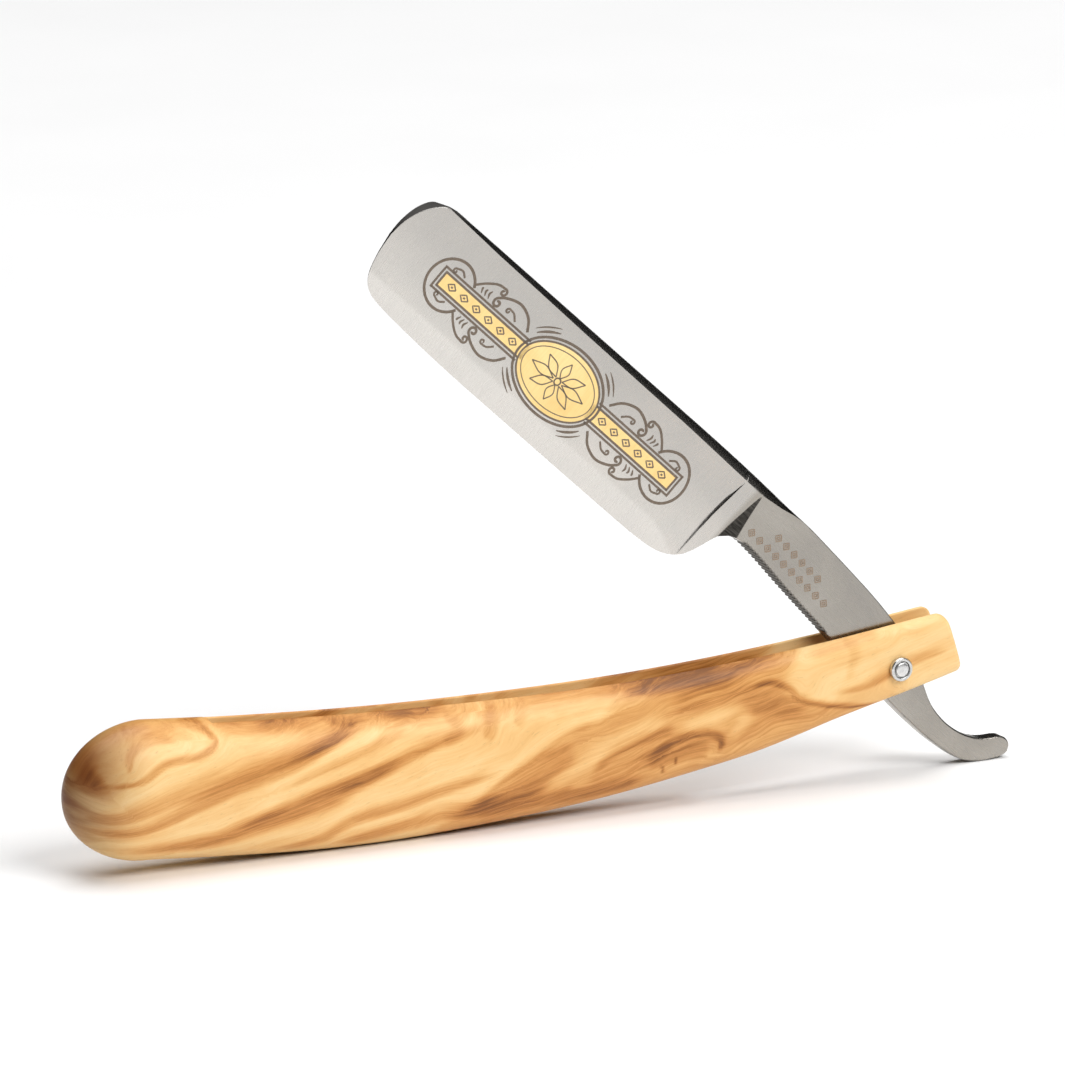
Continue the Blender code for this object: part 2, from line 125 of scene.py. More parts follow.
# Growth streaks in the wood: (points along the streak from the pivot, half width, strength);
# a negative strength lightens.
STREAKS = [
    ([(-138, -9.4), (-131.3, -9.9), (-125.5, -8.4), (-119.9, -6.2), (-113.3, -4.3),
      (-104.8, -2.5), (-97.7, -0.2), (-90.5, 2.3)], 0.95, 0.50),
    ([(-138, -7.6), (-132.3, -7.3), (-126.4, -5.3), (-118.2, -3.4), (-109.8, -1.9),
      (-102.9, -0.8), (-95.9, 0.5), (-90.5, 1.6)], 1.25, 0.34),
    ([(-133, -13.4), (-122.1, -13.1), (-115.9, -12.3), (-110.5, -10.6), (-103.2, -9.1),
      (-96.6, -7.3), (-90.7, -5.6), (-84, -3.6)], 1.15, 0.52),
    ([(-122, -14.6), (-115, -13.4), (-108, -11.6), (-100, -9.9), (-94, -8.0)], 0.7, 0.30),
    ([(-113.7, -11.2), (-106.6, -8.7), (-100, -6.7), (-93.2, -5.3), (-86.4, -3.7),
      (-79.4, -1.9), (-71.5, -0.6)], 0.9, 0.42),
    ([(-107, -16.7), (-98.8, -15.0), (-94.5, -12.5), (-86.3, -10.7), (-78, -8.9),
      (-69.5, -7.6)], 0.9, 0.44),
    ([(-96.2, -16.5), (-85.5, -14.9), (-77.4, -13.4), (-69.2, -11.2)], 1.1, 0.40),
    ([(-106, -5.4), (-97, -3.0), (-90, -1.2), (-84, 0.6)], 0.6, 0.22),
    ([(-135.7, -2.6), (-129.3, -1.8), (-125.3, 0.2), (-118.5, 0.9), (-116.1, 2.3),
      (-117.3, 3.5), (-121.5, 4.5)], 0.45, 0.48),
    ([(-134.0, -3.4), (-136.6, -0.4), (-135.0, 3.1), (-130.5, 5.0), (-124, 5.6)], 1.5, 0.52),
    ([(-131, -0.6), (-130, 1.9), (-126.5, 3.3), (-122.5, 3.0)], 0.5, 0.30),
    ([(-127, 6.2), (-119, 5.4), (-111.5, 4.4), (-104, 3.7), (-97, 3.4)], 1.5, 0.66),
    ([(-92.5, 3.5), (-87, 2.9), (-81, 2.4), (-76, 2.6)], 1.1, 0.58),
    ([(-100, 3.6), (-96, 2.2), (-92, 1.6)], 0.5, 0.30),
    ([(-72.7, -11.3), (-66, -7.4), (-61.8, -5.1), (-57.4, -3.1), (-52.2, -1.7)], 0.5, 0.30),
    ([(-74, -14.6), (-66, -11.4), (-61, -8.2), (-56, -5.4)], 2.6, 0.22),
    ([(-53.5, -9.6), (-48.8, -6.7), (-44.5, -5.6), (-38.5, -4.7)], 0.85, 0.36),
    ([(-54.5, -11.2), (-45.3, -9.3), (-39.2, -6.9)], 1.0, 0.34),
    ([(-79, -14.3), (-65.5, -13.6), (-51.6, -13.2), (-44, -12.2)], 1.3, 0.30),
    ([(-43.6, -8.1), (-38.7, -6.5), (-33.6, -6.1), (-31.2, -7.4), (-31.6, -9.6)], 0.6, 0.38),
    ([(-44, -10.0), (-38, -8.6), (-33, -9.4)], 1.6, 0.22),
    ([(-40, -1.8), (-34, -0.9), (-28, -1.4), (-22, -3.2), (-15, -5.4)], 2.0, 0.24),
    ([(-26.2, 0.0), (-22.7, 0.4), (-19.3, -0.9), (-17.5, -2.7), (-9.5, -4.9), (-1.8, -5.8)],
     0.5, 0.42),
    ([(-62.5, -12.0), (-56, -8.9), (-49, -6.0), (-44.6, -4.2), (-40.5, -2.9)], 1.25, -0.62),
    ([(-57.5, -11.9), (-50, -10.6), (-43.5, -9.0)], 0.75, -0.45),
    ([(-38.5, -4.9), (-33.5, -4.2), (-28.2, -3.6), (-27.2, -4.6), (-30.6, -7.6)], 1.05, -0.66),
    ([(-44, -11.6), (-38, -10.6), (-31, -9.6), (-27, -8.6)], 0.7, -0.30),
    ([(-70, 1.2), (-60, 1.0), (-52, 0.6), (-46, 0.9)], 0.9, -0.26),
    ([(-62, 2.6), (-51.6, 2.7), (-40, 3.0), (-30, 3.6), (-22, 4.2)], 1.3, 0.32),
    ([(-46, 1.0), (-36, 1.5), (-28, 2.1)], 0.7, 0.24),
    ([(-9.4, 5.4), (-8.0, 3.6), (-9.2, -0.6)], 0.8, 0.14),
    ([(-16, 3.6), (-9, 4.6), (-3, 5.6)], 0.9, 0.16),
    ([(-12, -2.6), (-6, -2.2), (-2, -0.9), (1.5, 0.3), (5.3, 1.4), (9.6, 2.5)], 0.55, 0.30),
    ([(-69.4, 2.8), (-70.6, 0.2), (-71.6, -2.4)], 1.0, 0.26),
    ([(-64.5, 2.4), (-65.3, 0.6), (-66.4, -1.0)], 0.8, 0.18),
    ([(-78, 1.6), (-76, -0.4), (-79, -2.0)], 0.8, 0.20),
    ([(-39.3, -9.9), (-38.7, -9.9)], 0.5, 0.55),
    ([(-41.3, -11.2), (-40.7, -11.0)], 0.65, 0.50),
]
# Left and right limits of the browner heartwood between the blade's belly and the pivot
HEART_LEFT = [(-16, -80), (-11.3, -72.7), (-7.4, -66), (-5.1, -61.8), (-3.1, -57.4),
              (-1.7, -52.2), (3.4, -45)]
HEART_RIGHT = [(-12, 4), (-5.7, -1.8), (-4.8, -9.5), (-2.7, -17.5), (-0.9, -19.3), (0.3, -20),
               (3, -18), (7, -14)]
HEART_TONE = 0.34  # how much browner the heartwood is
THROUGH_GRAIN = 0.28  # how far the figure drops per mm from the front to the back face
GRAIN = 14.0  # general rise of the grain, degrees
GRAIN_WEIGHT = 0.35  # its weight against the flow along the streaks
STREAK_REACH = 7.0  # no streak is felt farther from its line than this


# ---- curves and mesh helpers
def spline(knots, samples):
    """Points on a smooth curve through the knots: centripetal Catmull-Rom."""
    pts = np.array(knots, dtype=float)
    pts = np.vstack([2.0 * pts[0] - pts[1], pts, 2.0 * pts[-1] - pts[-2]])
    out = []

    def between(p, q, t_p, t_q, t):
        return ((t_q - t) * p + (t - t_p) * q) / (t_q - t_p)

    for a, b, c, d in zip(pts[:-3], pts[1:-2], pts[2:-1], pts[3:]):
        t0 = 0.0
        t1 = t0 + math.sqrt(np.linalg.norm(b - a))
        t2 = t1 + math.sqrt(np.linalg.norm(c - b))
        t3 = t2 + math.sqrt(np.linalg.norm(d - c))
        for t in np.linspace(t1, t2, samples, endpoint=False):
            ab = between(a, b, t0, t1, t)
            bc = between(b, c, t1, t2, t)
            cd = between(c, d, t2, t3, t)
            out.append(between(between(ab, bc, t0, t2, t), between(bc, cd, t1, t3, t), t1, t2, t))
    out.append(pts[-2])
    return np.array(out)


def height_function(knots):
    """Height over distance, along the smooth curve through the knots."""
    line = spline(knots, 40)
    keep = [line[0]]
    for point in line[1:]:
        if point[0] > keep[-1][0] + 1e-6:
            keep.append(point)
    keep = np.array(keep)
    return lambda x: np.interp(x, keep[:, 0], keep[:, 1])


def cos_sin(degrees):
    return math.cos(math.radians(degrees)), math.sin(math.radians(degrees))


def smooth_step(x, low, high):
    t = np.clip((x - low) / (high - low), 0.0, 1.0)
    return t * t * (3.0 - 2.0 * t)


def grid_mesh(name, grids, closed=False):
    """A skin over grids of points (rows x columns x 3, in mm); closed joins the columns."""
    verts, faces = [], []
    for grid in grids:
        base = len(verts)
        rows, columns = grid.shape[:2]
        verts += (grid.reshape(-1, 3) * MM).tolist()
        for i in range(base, base + (rows - 1) * columns, columns):
            for j in range(columns if closed else columns - 1):
                k = (j + 1) % columns
                faces.append((i + j, i + k, i + columns + k, i + columns + j))
    mesh = bpy.data.meshes.new(name)
    mesh.from_pydata(verts, [], faces)
    return mesh


def clean(mesh, crease):
    """Welds, orients and smooths a mesh."""
    bm = bmesh.new()
    bm.from_mesh(mesh)
    bmesh.ops.remove_doubles(bm, verts=bm.verts, dist=WELD)
    bmesh.ops.dissolve_degenerate(bm, dist=1e-7, edges=bm.edges)
    bmesh.ops.recalc_face_normals(bm, faces=bm.faces)
    bm.to_mesh(mesh)
    bm.free()
    mesh.shade_smooth()
    mesh.set_sharp_from_angle(angle=math.radians(crease))
    return mesh


def opened(points):
    """Blade points (mm, with the blade closed along -X) turned to the opening angle."""
    c, s = cos_sin(OPEN_ANGLE)
    x, y, z = points[..., 0], points[..., 1], points[..., 2]
    return np.stack([c * x + s * z, y, c * z - s * x], -1)


def scene_object(name, data):
    obj = bpy.data.objects.new(name, data)
    bpy.context.scene.collection.objects.link(obj)
    return obj


def bored(mesh):
    """The mesh with the pin's hole through it, along Y at the pivot."""
    bm = bmesh.new()
    radius = HOLE_RADIUS * MM
    bmesh.ops.create_cone(bm, cap_ends=True, segments=64, radius1=radius, radius2=radius, depth=0.03)
    bmesh.ops.rotate(bm, verts=bm.verts, matrix=Matrix.Rotation(math.radians(90.0), 3, "X"))
    tool_mesh = bpy.data.meshes.new("bore_tool")
    bm.to_mesh(tool_mesh)
    bm.free()
    tool = scene_object("bore_tool", tool_mesh)
    solid = scene_object("bore_solid", mesh)
    cut = solid.modifiers.new("bore", "BOOLEAN")
    cut.object = tool
    cut.operation = "DIFFERENCE"
    cut.solver = "EXACT"
    graph = bpy.context.evaluated_depsgraph_get()
    result = bpy.data.meshes.new_from_object(solid.evaluated_get(graph))
    result.name = mesh.name
    for obj in (tool, solid):
        bpy.data.objects.remove(obj)
    bpy.data.meshes.remove(tool_mesh)
    return result


def write_fields(mesh, **fields):
    """One value per point for each field, which the materials read by its name."""
    for name, values in fields.items():
        attribute = mesh.attributes.new(name, "FLOAT", "POINT")
        attribute.data.foreach_set("value", values.astype(np.float32))


def place(name, mesh, body, mat):
    """A visible piece that moves with a body; its points are measured from the pivot."""
    obj = scene_object(name, mesh)
    obj.location = PIVOT
    mesh.materials.append(mat)
    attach(obj, body)
    return obj


# ---- node helpers
def linear(r, g, b):
    """sRGB 0-255 to linear."""
    return tuple(((c / 255.0) / 12.92 if c <= 10 else ((c / 255.0 + 0.055) / 1.055) ** 2.4)
                 for c in (r, g, b)) + (1.0,)


def even_stops(*colours):
    """The colours at equal distances along a ramp."""
    return [(k / (len(colours) - 1.0), colour + (1,)) for k, colour in enumerate(colours)]


class Nodes:
    """A short way to write a material's node tree."""

    def __init__(self, name, turn=0.0, owners="materials", shader="Principled BSDF"):
        self.owner = getattr(bpy.data, owners).new(name)
        self.owner.use_nodes = True
        self.tree = self.owner.node_tree
        self.shader = self.tree.nodes[shader]
        self.coords = self.add("TexCoord").outputs["Object"]
        if turn:
            self.coords = self.mapping((1, 1, 1), (0, -turn, 0))

    def add(self, kind, inputs=(), **settings):
        """A new node. Its inputs are (socket, value) pairs; a value can be another node's output."""
        node = self.tree.nodes.new("ShaderNode" + kind)
        for key, value in settings.items():
            setattr(node, key, value)
        for key, value in inputs:
            self.link(value, node.inputs[key])
        return node

    def link(self, value, socket):
        if isinstance(value, bpy.types.NodeSocket):
            self.tree.links.new(value, socket)
        else:
            socket.default_value = value

    def math(self, kind, a, b=0.0, c=0.0, clamp=False):
        return self.add("Math", enumerate((a, b, c)), operation=kind, use_clamp=clamp).outputs[0]

    def mapping(self, scale, turn=(0, 0, 0)):
        radians = [math.radians(angle) for angle in turn]
        inputs = ("Scale", scale), ("Rotation", radians), ("Vector", self.coords)
        return self.add("Mapping", inputs).outputs[0]

    def noise(self, vector, detail, rough=0.5, distortion=0.0):
        inputs = (("Vector", vector), ("Scale", 1.0), ("Detail", detail), ("Roughness", rough),
                  ("Distortion", distortion))
        return self.add("TexNoise", inputs).outputs[0]

    def range(self, value, low, high, to_low=0.0, to_high=1.0, smooth=False):
        keys = "From Min", "From Max", "To Min", "To Max", "Value"
        inputs = zip(keys, (low, high, to_low, to_high, value))
        shape = "SMOOTHSTEP" if smooth else "LINEAR"
        return self.add("MapRange", inputs, interpolation_type=shape).outputs[0]

    def ramp(self, value, stops):
        node = self.add("ValToRGB", [("Fac", value)])
        elements = node.color_ramp.elements
        while len(elements) < len(stops):
            elements.new(0.5)
        for element, (position, colour) in zip(elements, stops):
            element.position = position
            element.color = colour
        return node.outputs["Color"]

    def mix(self, factor, a, b, kind="MIX"):
        inputs = (0, factor), (6, a), (7, b)
        return self.add("Mix", inputs, data_type="RGBA", blend_type=kind).outputs[2]

    def axis(self, index):
        """One of the coordinates, in mm."""
        node = self.add("SeparateXYZ", [(0, self.coords)])
        return self.math("MULTIPLY", node.outputs[index], 1.0 / MM)

    def scaled(self, values, scales):
        products = [self.math("MULTIPLY", value, scale) for value, scale in zip(values, scales)]
        return self.add("CombineXYZ", enumerate(products)).outputs[0]

    def attribute(self, name):
        return self.add("Attribute", attribute_name=name).outputs["Fac"]

    def finish(self, colour, rough, relief=None, strength=0.0, depth=0.0, **others):
        """Connects the shader, with relief as its bump (depth in m), and returns the material."""
        others.update(Base_Color=colour, Roughness=rough)
        if relief is not None:
            inputs = ("Strength", strength), ("Distance", depth), ("Height", relief)
            others["Normal"] = self.add("Bump", inputs).outputs[0]
        for key, value in others.items():
            self.link(value, self.shader.inputs[key.replace("_", " ")])
        return self.owner


# ---- materials
def olive_wood():
    n = Nodes("olive_wood")
    place_mm = (n.axis(0), n.attribute("across"), n.axis(1))
    figure = n.attribute("figure")
    bands = n.noise(n.scaled(place_mm, (0.022, 0.42, 0.12)), 3.0, 0.55, 0.25)
    lines = n.noise(n.scaled(place_mm, (0.045, 2.0, 0.5)), 7.0, 0.72, 0.10)
    fibres = n.noise(n.scaled(place_mm, (0.38, 4.6, 2.2)), 4.0, 0.65)
    cloud = n.noise(n.scaled(place_mm, (0.11, 0.30, 0.20)), 3.0, 0.5, 0.5)
    centred = [n.math("SUBTRACT", value, 0.5) for value in (bands, lines, fibres, cloud)]
    tone = n.math("ADD", figure, 0.10)
    weights = (0.44, n.range(figure, 0.15, 0.45, 0.35, 0.14),
               n.range(figure, 0.15, 0.45, 0.18, 0.30), 0.34)
    for value, weight in zip(centred, weights):
        tone = n.math("MULTIPLY_ADD", value, weight, tone)
    # the darkest streaks break up along the fibres
    broken = n.math("MULTIPLY", figure, n.range(lines, 0.38, 0.62, -0.22, 0.18))
    tone = n.math("ADD", tone, broken, clamp=True)
    colour = n.ramp(tone, [(0.0, linear(246, 209, 148)), (0.16, linear(240, 194, 128)),
                           (0.36, linear(226, 170, 102)), (0.58, linear(206, 143, 76)),
                           (0.80, linear(172, 111, 52)), (1.0, linear(130, 80, 38))])
    pores = n.noise(n.scaled(place_mm, (0.9, 6.5, 4.0)), 2.0, 0.5)
    fleck = n.range(pores, 0.64, 0.76, 0.0, 0.20)
    colour = n.mix(fleck, colour, linear(120, 72, 38))
    # painted shade on the round butt, which turns from the light, together with end grain that drinks
    # more finish: the butt is painted darker
    reach = n.math("MULTIPLY_ADD", n.axis(2), -0.22, n.axis(0))
    butt = n.range(reach, -140.0, -125.5, 1.0, 0.0, smooth=True)
    butt = n.math("MULTIPLY", butt, n.range(bands, 0.25, 0.6, 0.75, 1.0))
    colour = n.mix(butt, colour, linear(118, 80, 50), "MULTIPLY")
    # painted shade on the walls inside the slot
    colour = n.mix(n.attribute("inner"), colour, linear(128, 72, 30))
    relief = n.math("ADD", fibres, n.math("MULTIPLY", pores, -0.7))
    return n.finish(colour, n.range(fibres, 0.3, 0.7, 0.38, 0.50), relief, 0.4, 0.00002,
                    Specular_IOR_Level=0.32, Coat_Weight=0.08, Coat_Roughness=0.35)


def ground_steel():
    """Satin steel: grinding lines run from back to edge on the blade, along the tang."""
    n = Nodes("ground_steel", OPEN_ANGLE)
    across = n.noise(n.mapping((3600, 900, 150)), 4.0, 0.6, 0.05)
    along = n.noise(n.mapping((180, 900, 3600)), 4.0, 0.6, 0.05)
    tang = n.range(n.axis(0), -38.4, -37.6, 0.0, 1.0)
    lines = n.math("ADD", n.math("MULTIPLY", across, n.math("SUBTRACT", 1.0, tang)),
                   n.math("MULTIPLY", along, tang))
    cloud = n.noise(n.mapping((60, 60, 90)), 5.0, 0.6, 0.6)
    drift = n.noise(n.mapping((18, 18, 30)), 2.0, 0.5, 0.4)
    mottle = n.math("ADD", n.math("MULTIPLY", cloud, 0.6), n.math("MULTIPLY", drift, 0.4))
    mottle = n.range(mottle, 0.36, 0.64)
    blade = n.ramp(mottle, even_stops((0.55, 0.53, 0.50), (0.60, 0.575, 0.54), (0.66, 0.62, 0.575)))
    # painted shade: the face is painted darker towards the back, standing in for the darker reflection
    # there
    height = n.axis(2)
    back_shade = n.range(height, -9.0, 4.0, 0.0, 0.52, smooth=True)
    blade = n.mix(back_shade, blade, (0.36, 0.345, 0.325, 1))
    # painted highlight: the band below the soft line where the last grind towards the edge begins is
    # painted lighter; the line swings down at the heel
    heel = n.math("MAXIMUM", n.math("MULTIPLY_ADD", n.axis(0), 1.0 / 9.0, 50.0 / 9.0), 0.0)
    lowered = n.math("MULTIPLY_ADD", n.math("MULTIPLY", heel, heel), 3.0, height)
    bevel_highlight = n.range(lowered, -7.6, -6.7, 0.42, 0.0, smooth=True)
    blade = n.mix(bevel_highlight, blade, (0.76, 0.73, 0.69, 1))
    shank = n.ramp(mottle, even_stops((0.315, 0.295, 0.27), (0.36, 0.335, 0.30), (0.405, 0.38, 0.345)))
    colour = n.mix(tang, blade, shank)
    colour = n.mix(n.range(lines, 0.35, 0.75, 0.0, 0.06), colour, (0.40, 0.38, 0.35, 1))
    # painted shade: the nose's cap is painted darker where it turns from the light, and made rougher
    dull = n.attribute("dull")
    colour = n.mix(dull, colour, (0.25, 0.24, 0.228, 1))
    # the notches under the tang are painted darker, and the wedge at the shoulder is painted as shade
    grime = n.attribute("grime")
    scale = n.range(along, 0.35, 0.65, 0.72, 1.0)
    colour = n.mix(n.math("MULTIPLY", grime, scale), colour, (0.03, 0.028, 0.025, 1))
    rough = n.math("MULTIPLY_ADD", dull, 0.16, n.range(lines, 0.3, 0.7, 0.25, 0.29))
    rough = n.math("MULTIPLY_ADD", grime, 0.25, rough)
    return n.finish(colour, rough, lines, 0.2, 0.0000006, Metallic=1.0)


def polished_steel(name, tint, rough):
    n = Nodes(name)
    marks = n.noise(n.mapping((2600, 700, 2600)), 4.0, 0.6)
    colour = n.mix(n.range(marks, 0.4, 0.75), tint, tuple(c * 0.82 for c in tint[:3]) + (1,))
    roughness = n.range(marks, 0.3, 0.7, rough, rough + 0.12)
    return n.finish(colour, roughness, marks, 0.3, 0.000002, Metallic=1.0)


def gilding():
    n = Nodes("gilding", OPEN_ANGLE)
    lines = n.noise(n.mapping((5200, 900, 190)), 4.0, 0.65, 0.05)
    cloud = n.noise(n.mapping((120, 120, 120)), 4.0, 0.6, 0.5)
    colour = n.ramp(n.range(cloud, 0.3, 0.7), even_stops((0.92, 0.64, 0.25), (1.0, 0.765, 0.36)))
    colour = n.mix(n.range(lines, 0.4, 0.75, 0.0, 0.3), colour, (0.78, 0.50, 0.20, 1))
    rough = n.range(lines, 0.3, 0.7, 0.30, 0.42)
    return n.finish(colour, rough, lines, 0.3, 0.000002, Metallic=0.85)


def etching(name, dark, light):
    n = Nodes(name, OPEN_ANGLE)
    grains = n.noise(n.mapping((6000, 6000, 6000)), 3.0, 0.6)
    colour = n.ramp(grains, [(0.3, dark), (0.7, light)])
    rough = n.range(grains, 0.3, 0.7, 0.55, 0.75)
    return n.finish(colour, rough, grains, 0.3, 0.000004, Metallic=0.35)


def brass():
    n = Nodes("turned_brass")
    rings = n.noise(n.mapping((900, 4000, 900)), 3.0, 0.6)
    colour = n.mix(rings, (0.62, 0.44, 0.20, 1), (0.80, 0.60, 0.30, 1))
    rough = n.range(rings, 0.3, 0.7, 0.28, 0.42)
    return n.finish(colour, rough, rings, 0.3, 0.000002, Metallic=1.0)


# ---- handle
handle_top = height_function(HANDLE_TOP)
handle_bottom = height_function(HANDLE_BOTTOM)
handle_half = height_function(HANDLE_HALF_THICKNESS)
handle_square = height_function(HANDLE_SQUARENESS)
# points in each part of a half section
FLOOR_POINTS, WALL_POINTS, LIP_POINTS, SIDE_POINTS, KEEL_POINTS = 7, 22, 8, 84, 9


def outer_height(y, x, sign):
    """Height of the un-slotted handle's surface at y: sign 1 for its top, -1 for its bottom."""
    top, bottom = handle_top(x), handle_bottom(x)
    square = handle_square(x)
    share = 1.0 - (abs(y) / handle_half(x)) ** square
    return 0.5 * (top + bottom) + sign * 0.5 * (top - bottom) * share ** (1.0 / square)


def side_points(x, lip):
    """The rounded outside, from the upper lip down to the lower one."""
    square = handle_square(x)
    top, bottom, half = handle_top(x), handle_bottom(x), handle_half(x)
    start = math.acos((lip / half) ** (square / 2.0))
    out = []
    for a in np.linspace(start, -start, SIDE_POINTS):
        c, s = max(0.0, math.cos(a)), math.sin(a)
        y = half * c ** (2.0 / square)
        rise = math.copysign(abs(s) ** (2.0 / square), s)
        out.append((y, 0.5 * (top + bottom) + 0.5 * (top - bottom) * rise))
    return out


def keel_points(x, lip):
    """The closed underside, from the side's foot to the middle plane."""
    return [(y, outer_height(y, x, -1)) for y in np.linspace(lip, 0.0, KEEL_POINTS + 1)[1:]]


def slot_half(x):
    """The slot narrows towards the butt, where only the thin hollow of the blade enters."""
    return SLOT_BUTT_HALF + (SLOT_HALF - SLOT_BUTT_HALF) * smooth_step(x, -90.0, -46.0)


def slot_floor(x):
    """A straight floor that curves up to the slot's blind end."""
    reach = x - SLOT_END
    if reach >= SLOT_CORNER:
        return SLOT_FLOOR
    return SLOT_FLOOR + SLOT_CORNER - math.sqrt(SLOT_CORNER ** 2 - (SLOT_CORNER - reach) ** 2)


def solid_section(x, dip):
    """Half of a section where there is no slot; dip eases the slot's blind edge."""
    wall = slot_half(x)
    lip = wall + LIP_ROUND
    ys = list(np.linspace(0.0, wall - 0.3, FLOOR_POINTS))
    ys += list(np.linspace(wall - 0.28, wall, WALL_POINTS))
    ys += list(np.linspace(wall + 0.01, lip, LIP_POINTS, endpoint=False))
    out = []
    for y in ys:
        fade = 1.0 if y <= wall else 1.0 - (y - wall) / LIP_ROUND
        out.append((y, outer_height(y, x, 1) - dip * fade))
    return out + side_points(x, lip) + keel_points(x, lip)


def slotted_section(x, through):
    """Half of a section with the slot; through where the slot also opens the underside."""
    wall = slot_half(x)
    lip = wall + LIP_ROUND
    upper = outer_height(lip, x, 1)
    lower = outer_height(lip, x, -1)
    fillet = 0.0 if through else SLOT_FILLET
    if through:
        foot = lower + LIP_ROUND
        out = [(wall, foot)] * FLOOR_POINTS
    else:
        foot = slot_floor(x)
        out = [(y, foot) for y in np.linspace(0.0, wall - fillet, FLOOR_POINTS)]
    for k in range(WALL_POINTS):
        share = k / (WALL_POINTS - 1.0)
        if not through and k < 4:
            a = math.radians(30.0 * k)
            out.append((wall - fillet * (1.0 - math.sin(a)), foot + fillet * (1.0 - math.cos(a))))
        else:
            out.append((wall, foot + fillet + (upper - LIP_ROUND - foot - fillet) * share))
    for k in range(LIP_POINTS):
        a = 0.5 * math.pi * k / LIP_POINTS
        out.append((wall + LIP_ROUND * (1.0 - math.cos(a)), upper - LIP_ROUND * (1.0 - math.sin(a))))
    out += side_points(x, lip)
    if not through:
        return out + keel_points(x, lip)
    for k in range(1, KEEL_POINTS + 1):
        a = 0.5 * math.pi * k / KEEL_POINTS
        out.append((lip - LIP_ROUND * math.sin(a), lower + LIP_ROUND * (1.0 - math.cos(a))))
    return out


def break_through():
    """Where the straight slot floor meets the handle's rising underside."""
    low, high = -60.0, 0.0
    for _ in range(40):
        middle = 0.5 * (low + high)
        if outer_height(SLOT_HALF + LIP_ROUND, middle, -1) < SLOT_FLOOR:
            low = middle
        else:
            high = middle
    return low


def corner_inset(radius, depth):
    """How far a rounded corner has drawn in at this depth before its end face."""
    reach = np.clip(radius - depth, 0.0, radius)
    return radius - math.sqrt(max(0.0, radius * radius - reach * reach))


def handle_rows():
    """Half sections (y >= 0) from the butt's tip to the slanted end at the pivot."""
    centre = HANDLE_BUTT + HANDLE_ROUND
    (x_up, z_up), (x_low, z_low) = HANDLE_END
    x_end = 0.5 * (x_up + x_low) + END_BULGE
    end_lean = (x_low - x_up) / (z_up - z_low)
    opening = break_through()
    rows = []

    def add(section, x, lean=0.0):
        mid = 0.5 * (handle_top(x) + handle_bottom(x))
        rows.append([(x - lean * (z - mid), y, z) for y, z in section])

    base = solid_section(centre, 0.0)
    mid = 0.5 * (handle_top(centre) + handle_bottom(centre))
    for a in np.linspace(90.0, 0.0, 56)[:-1]:
        c, s = cos_sin(a)
        rows.append([(centre - HANDLE_ROUND * s, y * c, mid + (z - mid) * c) for y, z in base])
    for x in np.arange(centre, SLOT_END - LIP_ROUND, STEP):
        add(solid_section(x, 0.0), x)
    for s in (0.0, 0.35, 0.6, 0.8, 0.93, 1.0):
        x = SLOT_END - LIP_ROUND * (1.0 - s)
        add(solid_section(x, LIP_ROUND * (1.0 - math.sqrt(1.0 - s * s))), x)
    curve = [SLOT_END + SLOT_CORNER * (1.0 - cos_sin(a)[0]) for a in np.linspace(0.0, 90.0, 20)]
    straight = np.arange(SLOT_END + SLOT_CORNER + STEP, opening - 0.3, STEP)
    for x in [*curve, *straight, opening]:
        add(slotted_section(x, False), x)
    straight = np.arange(opening + 0.02, x_end - END_TOP_ROUND, STEP)
    curve = x_end - END_TOP_ROUND * (1.0 - np.sin(np.radians(np.linspace(0, 90, 15))))
    for x in [*straight, *curve]:
        section = np.array(slotted_section(x, True))
        depth = x_end - x
        low, high = section.min(0), section.max(0)
        side = corner_inset(END_ROUND, depth)
        inset_low = np.array([side, corner_inset(END_LOW_ROUND, depth)])
        inset_high = np.array([side, corner_inset(END_TOP_ROUND, depth)])
        share = (section - low) / (high - low)
        section = low + inset_low + share * (high - low - inset_low - inset_high)
        add(section, x, end_lean * smooth_step(x, x_end - END_LEAN_REACH, x_end))
    tip = np.array(rows[-1])
    rows.append([tuple(tip.mean(0))] * len(rows[-1]))
    return np.array(rows)


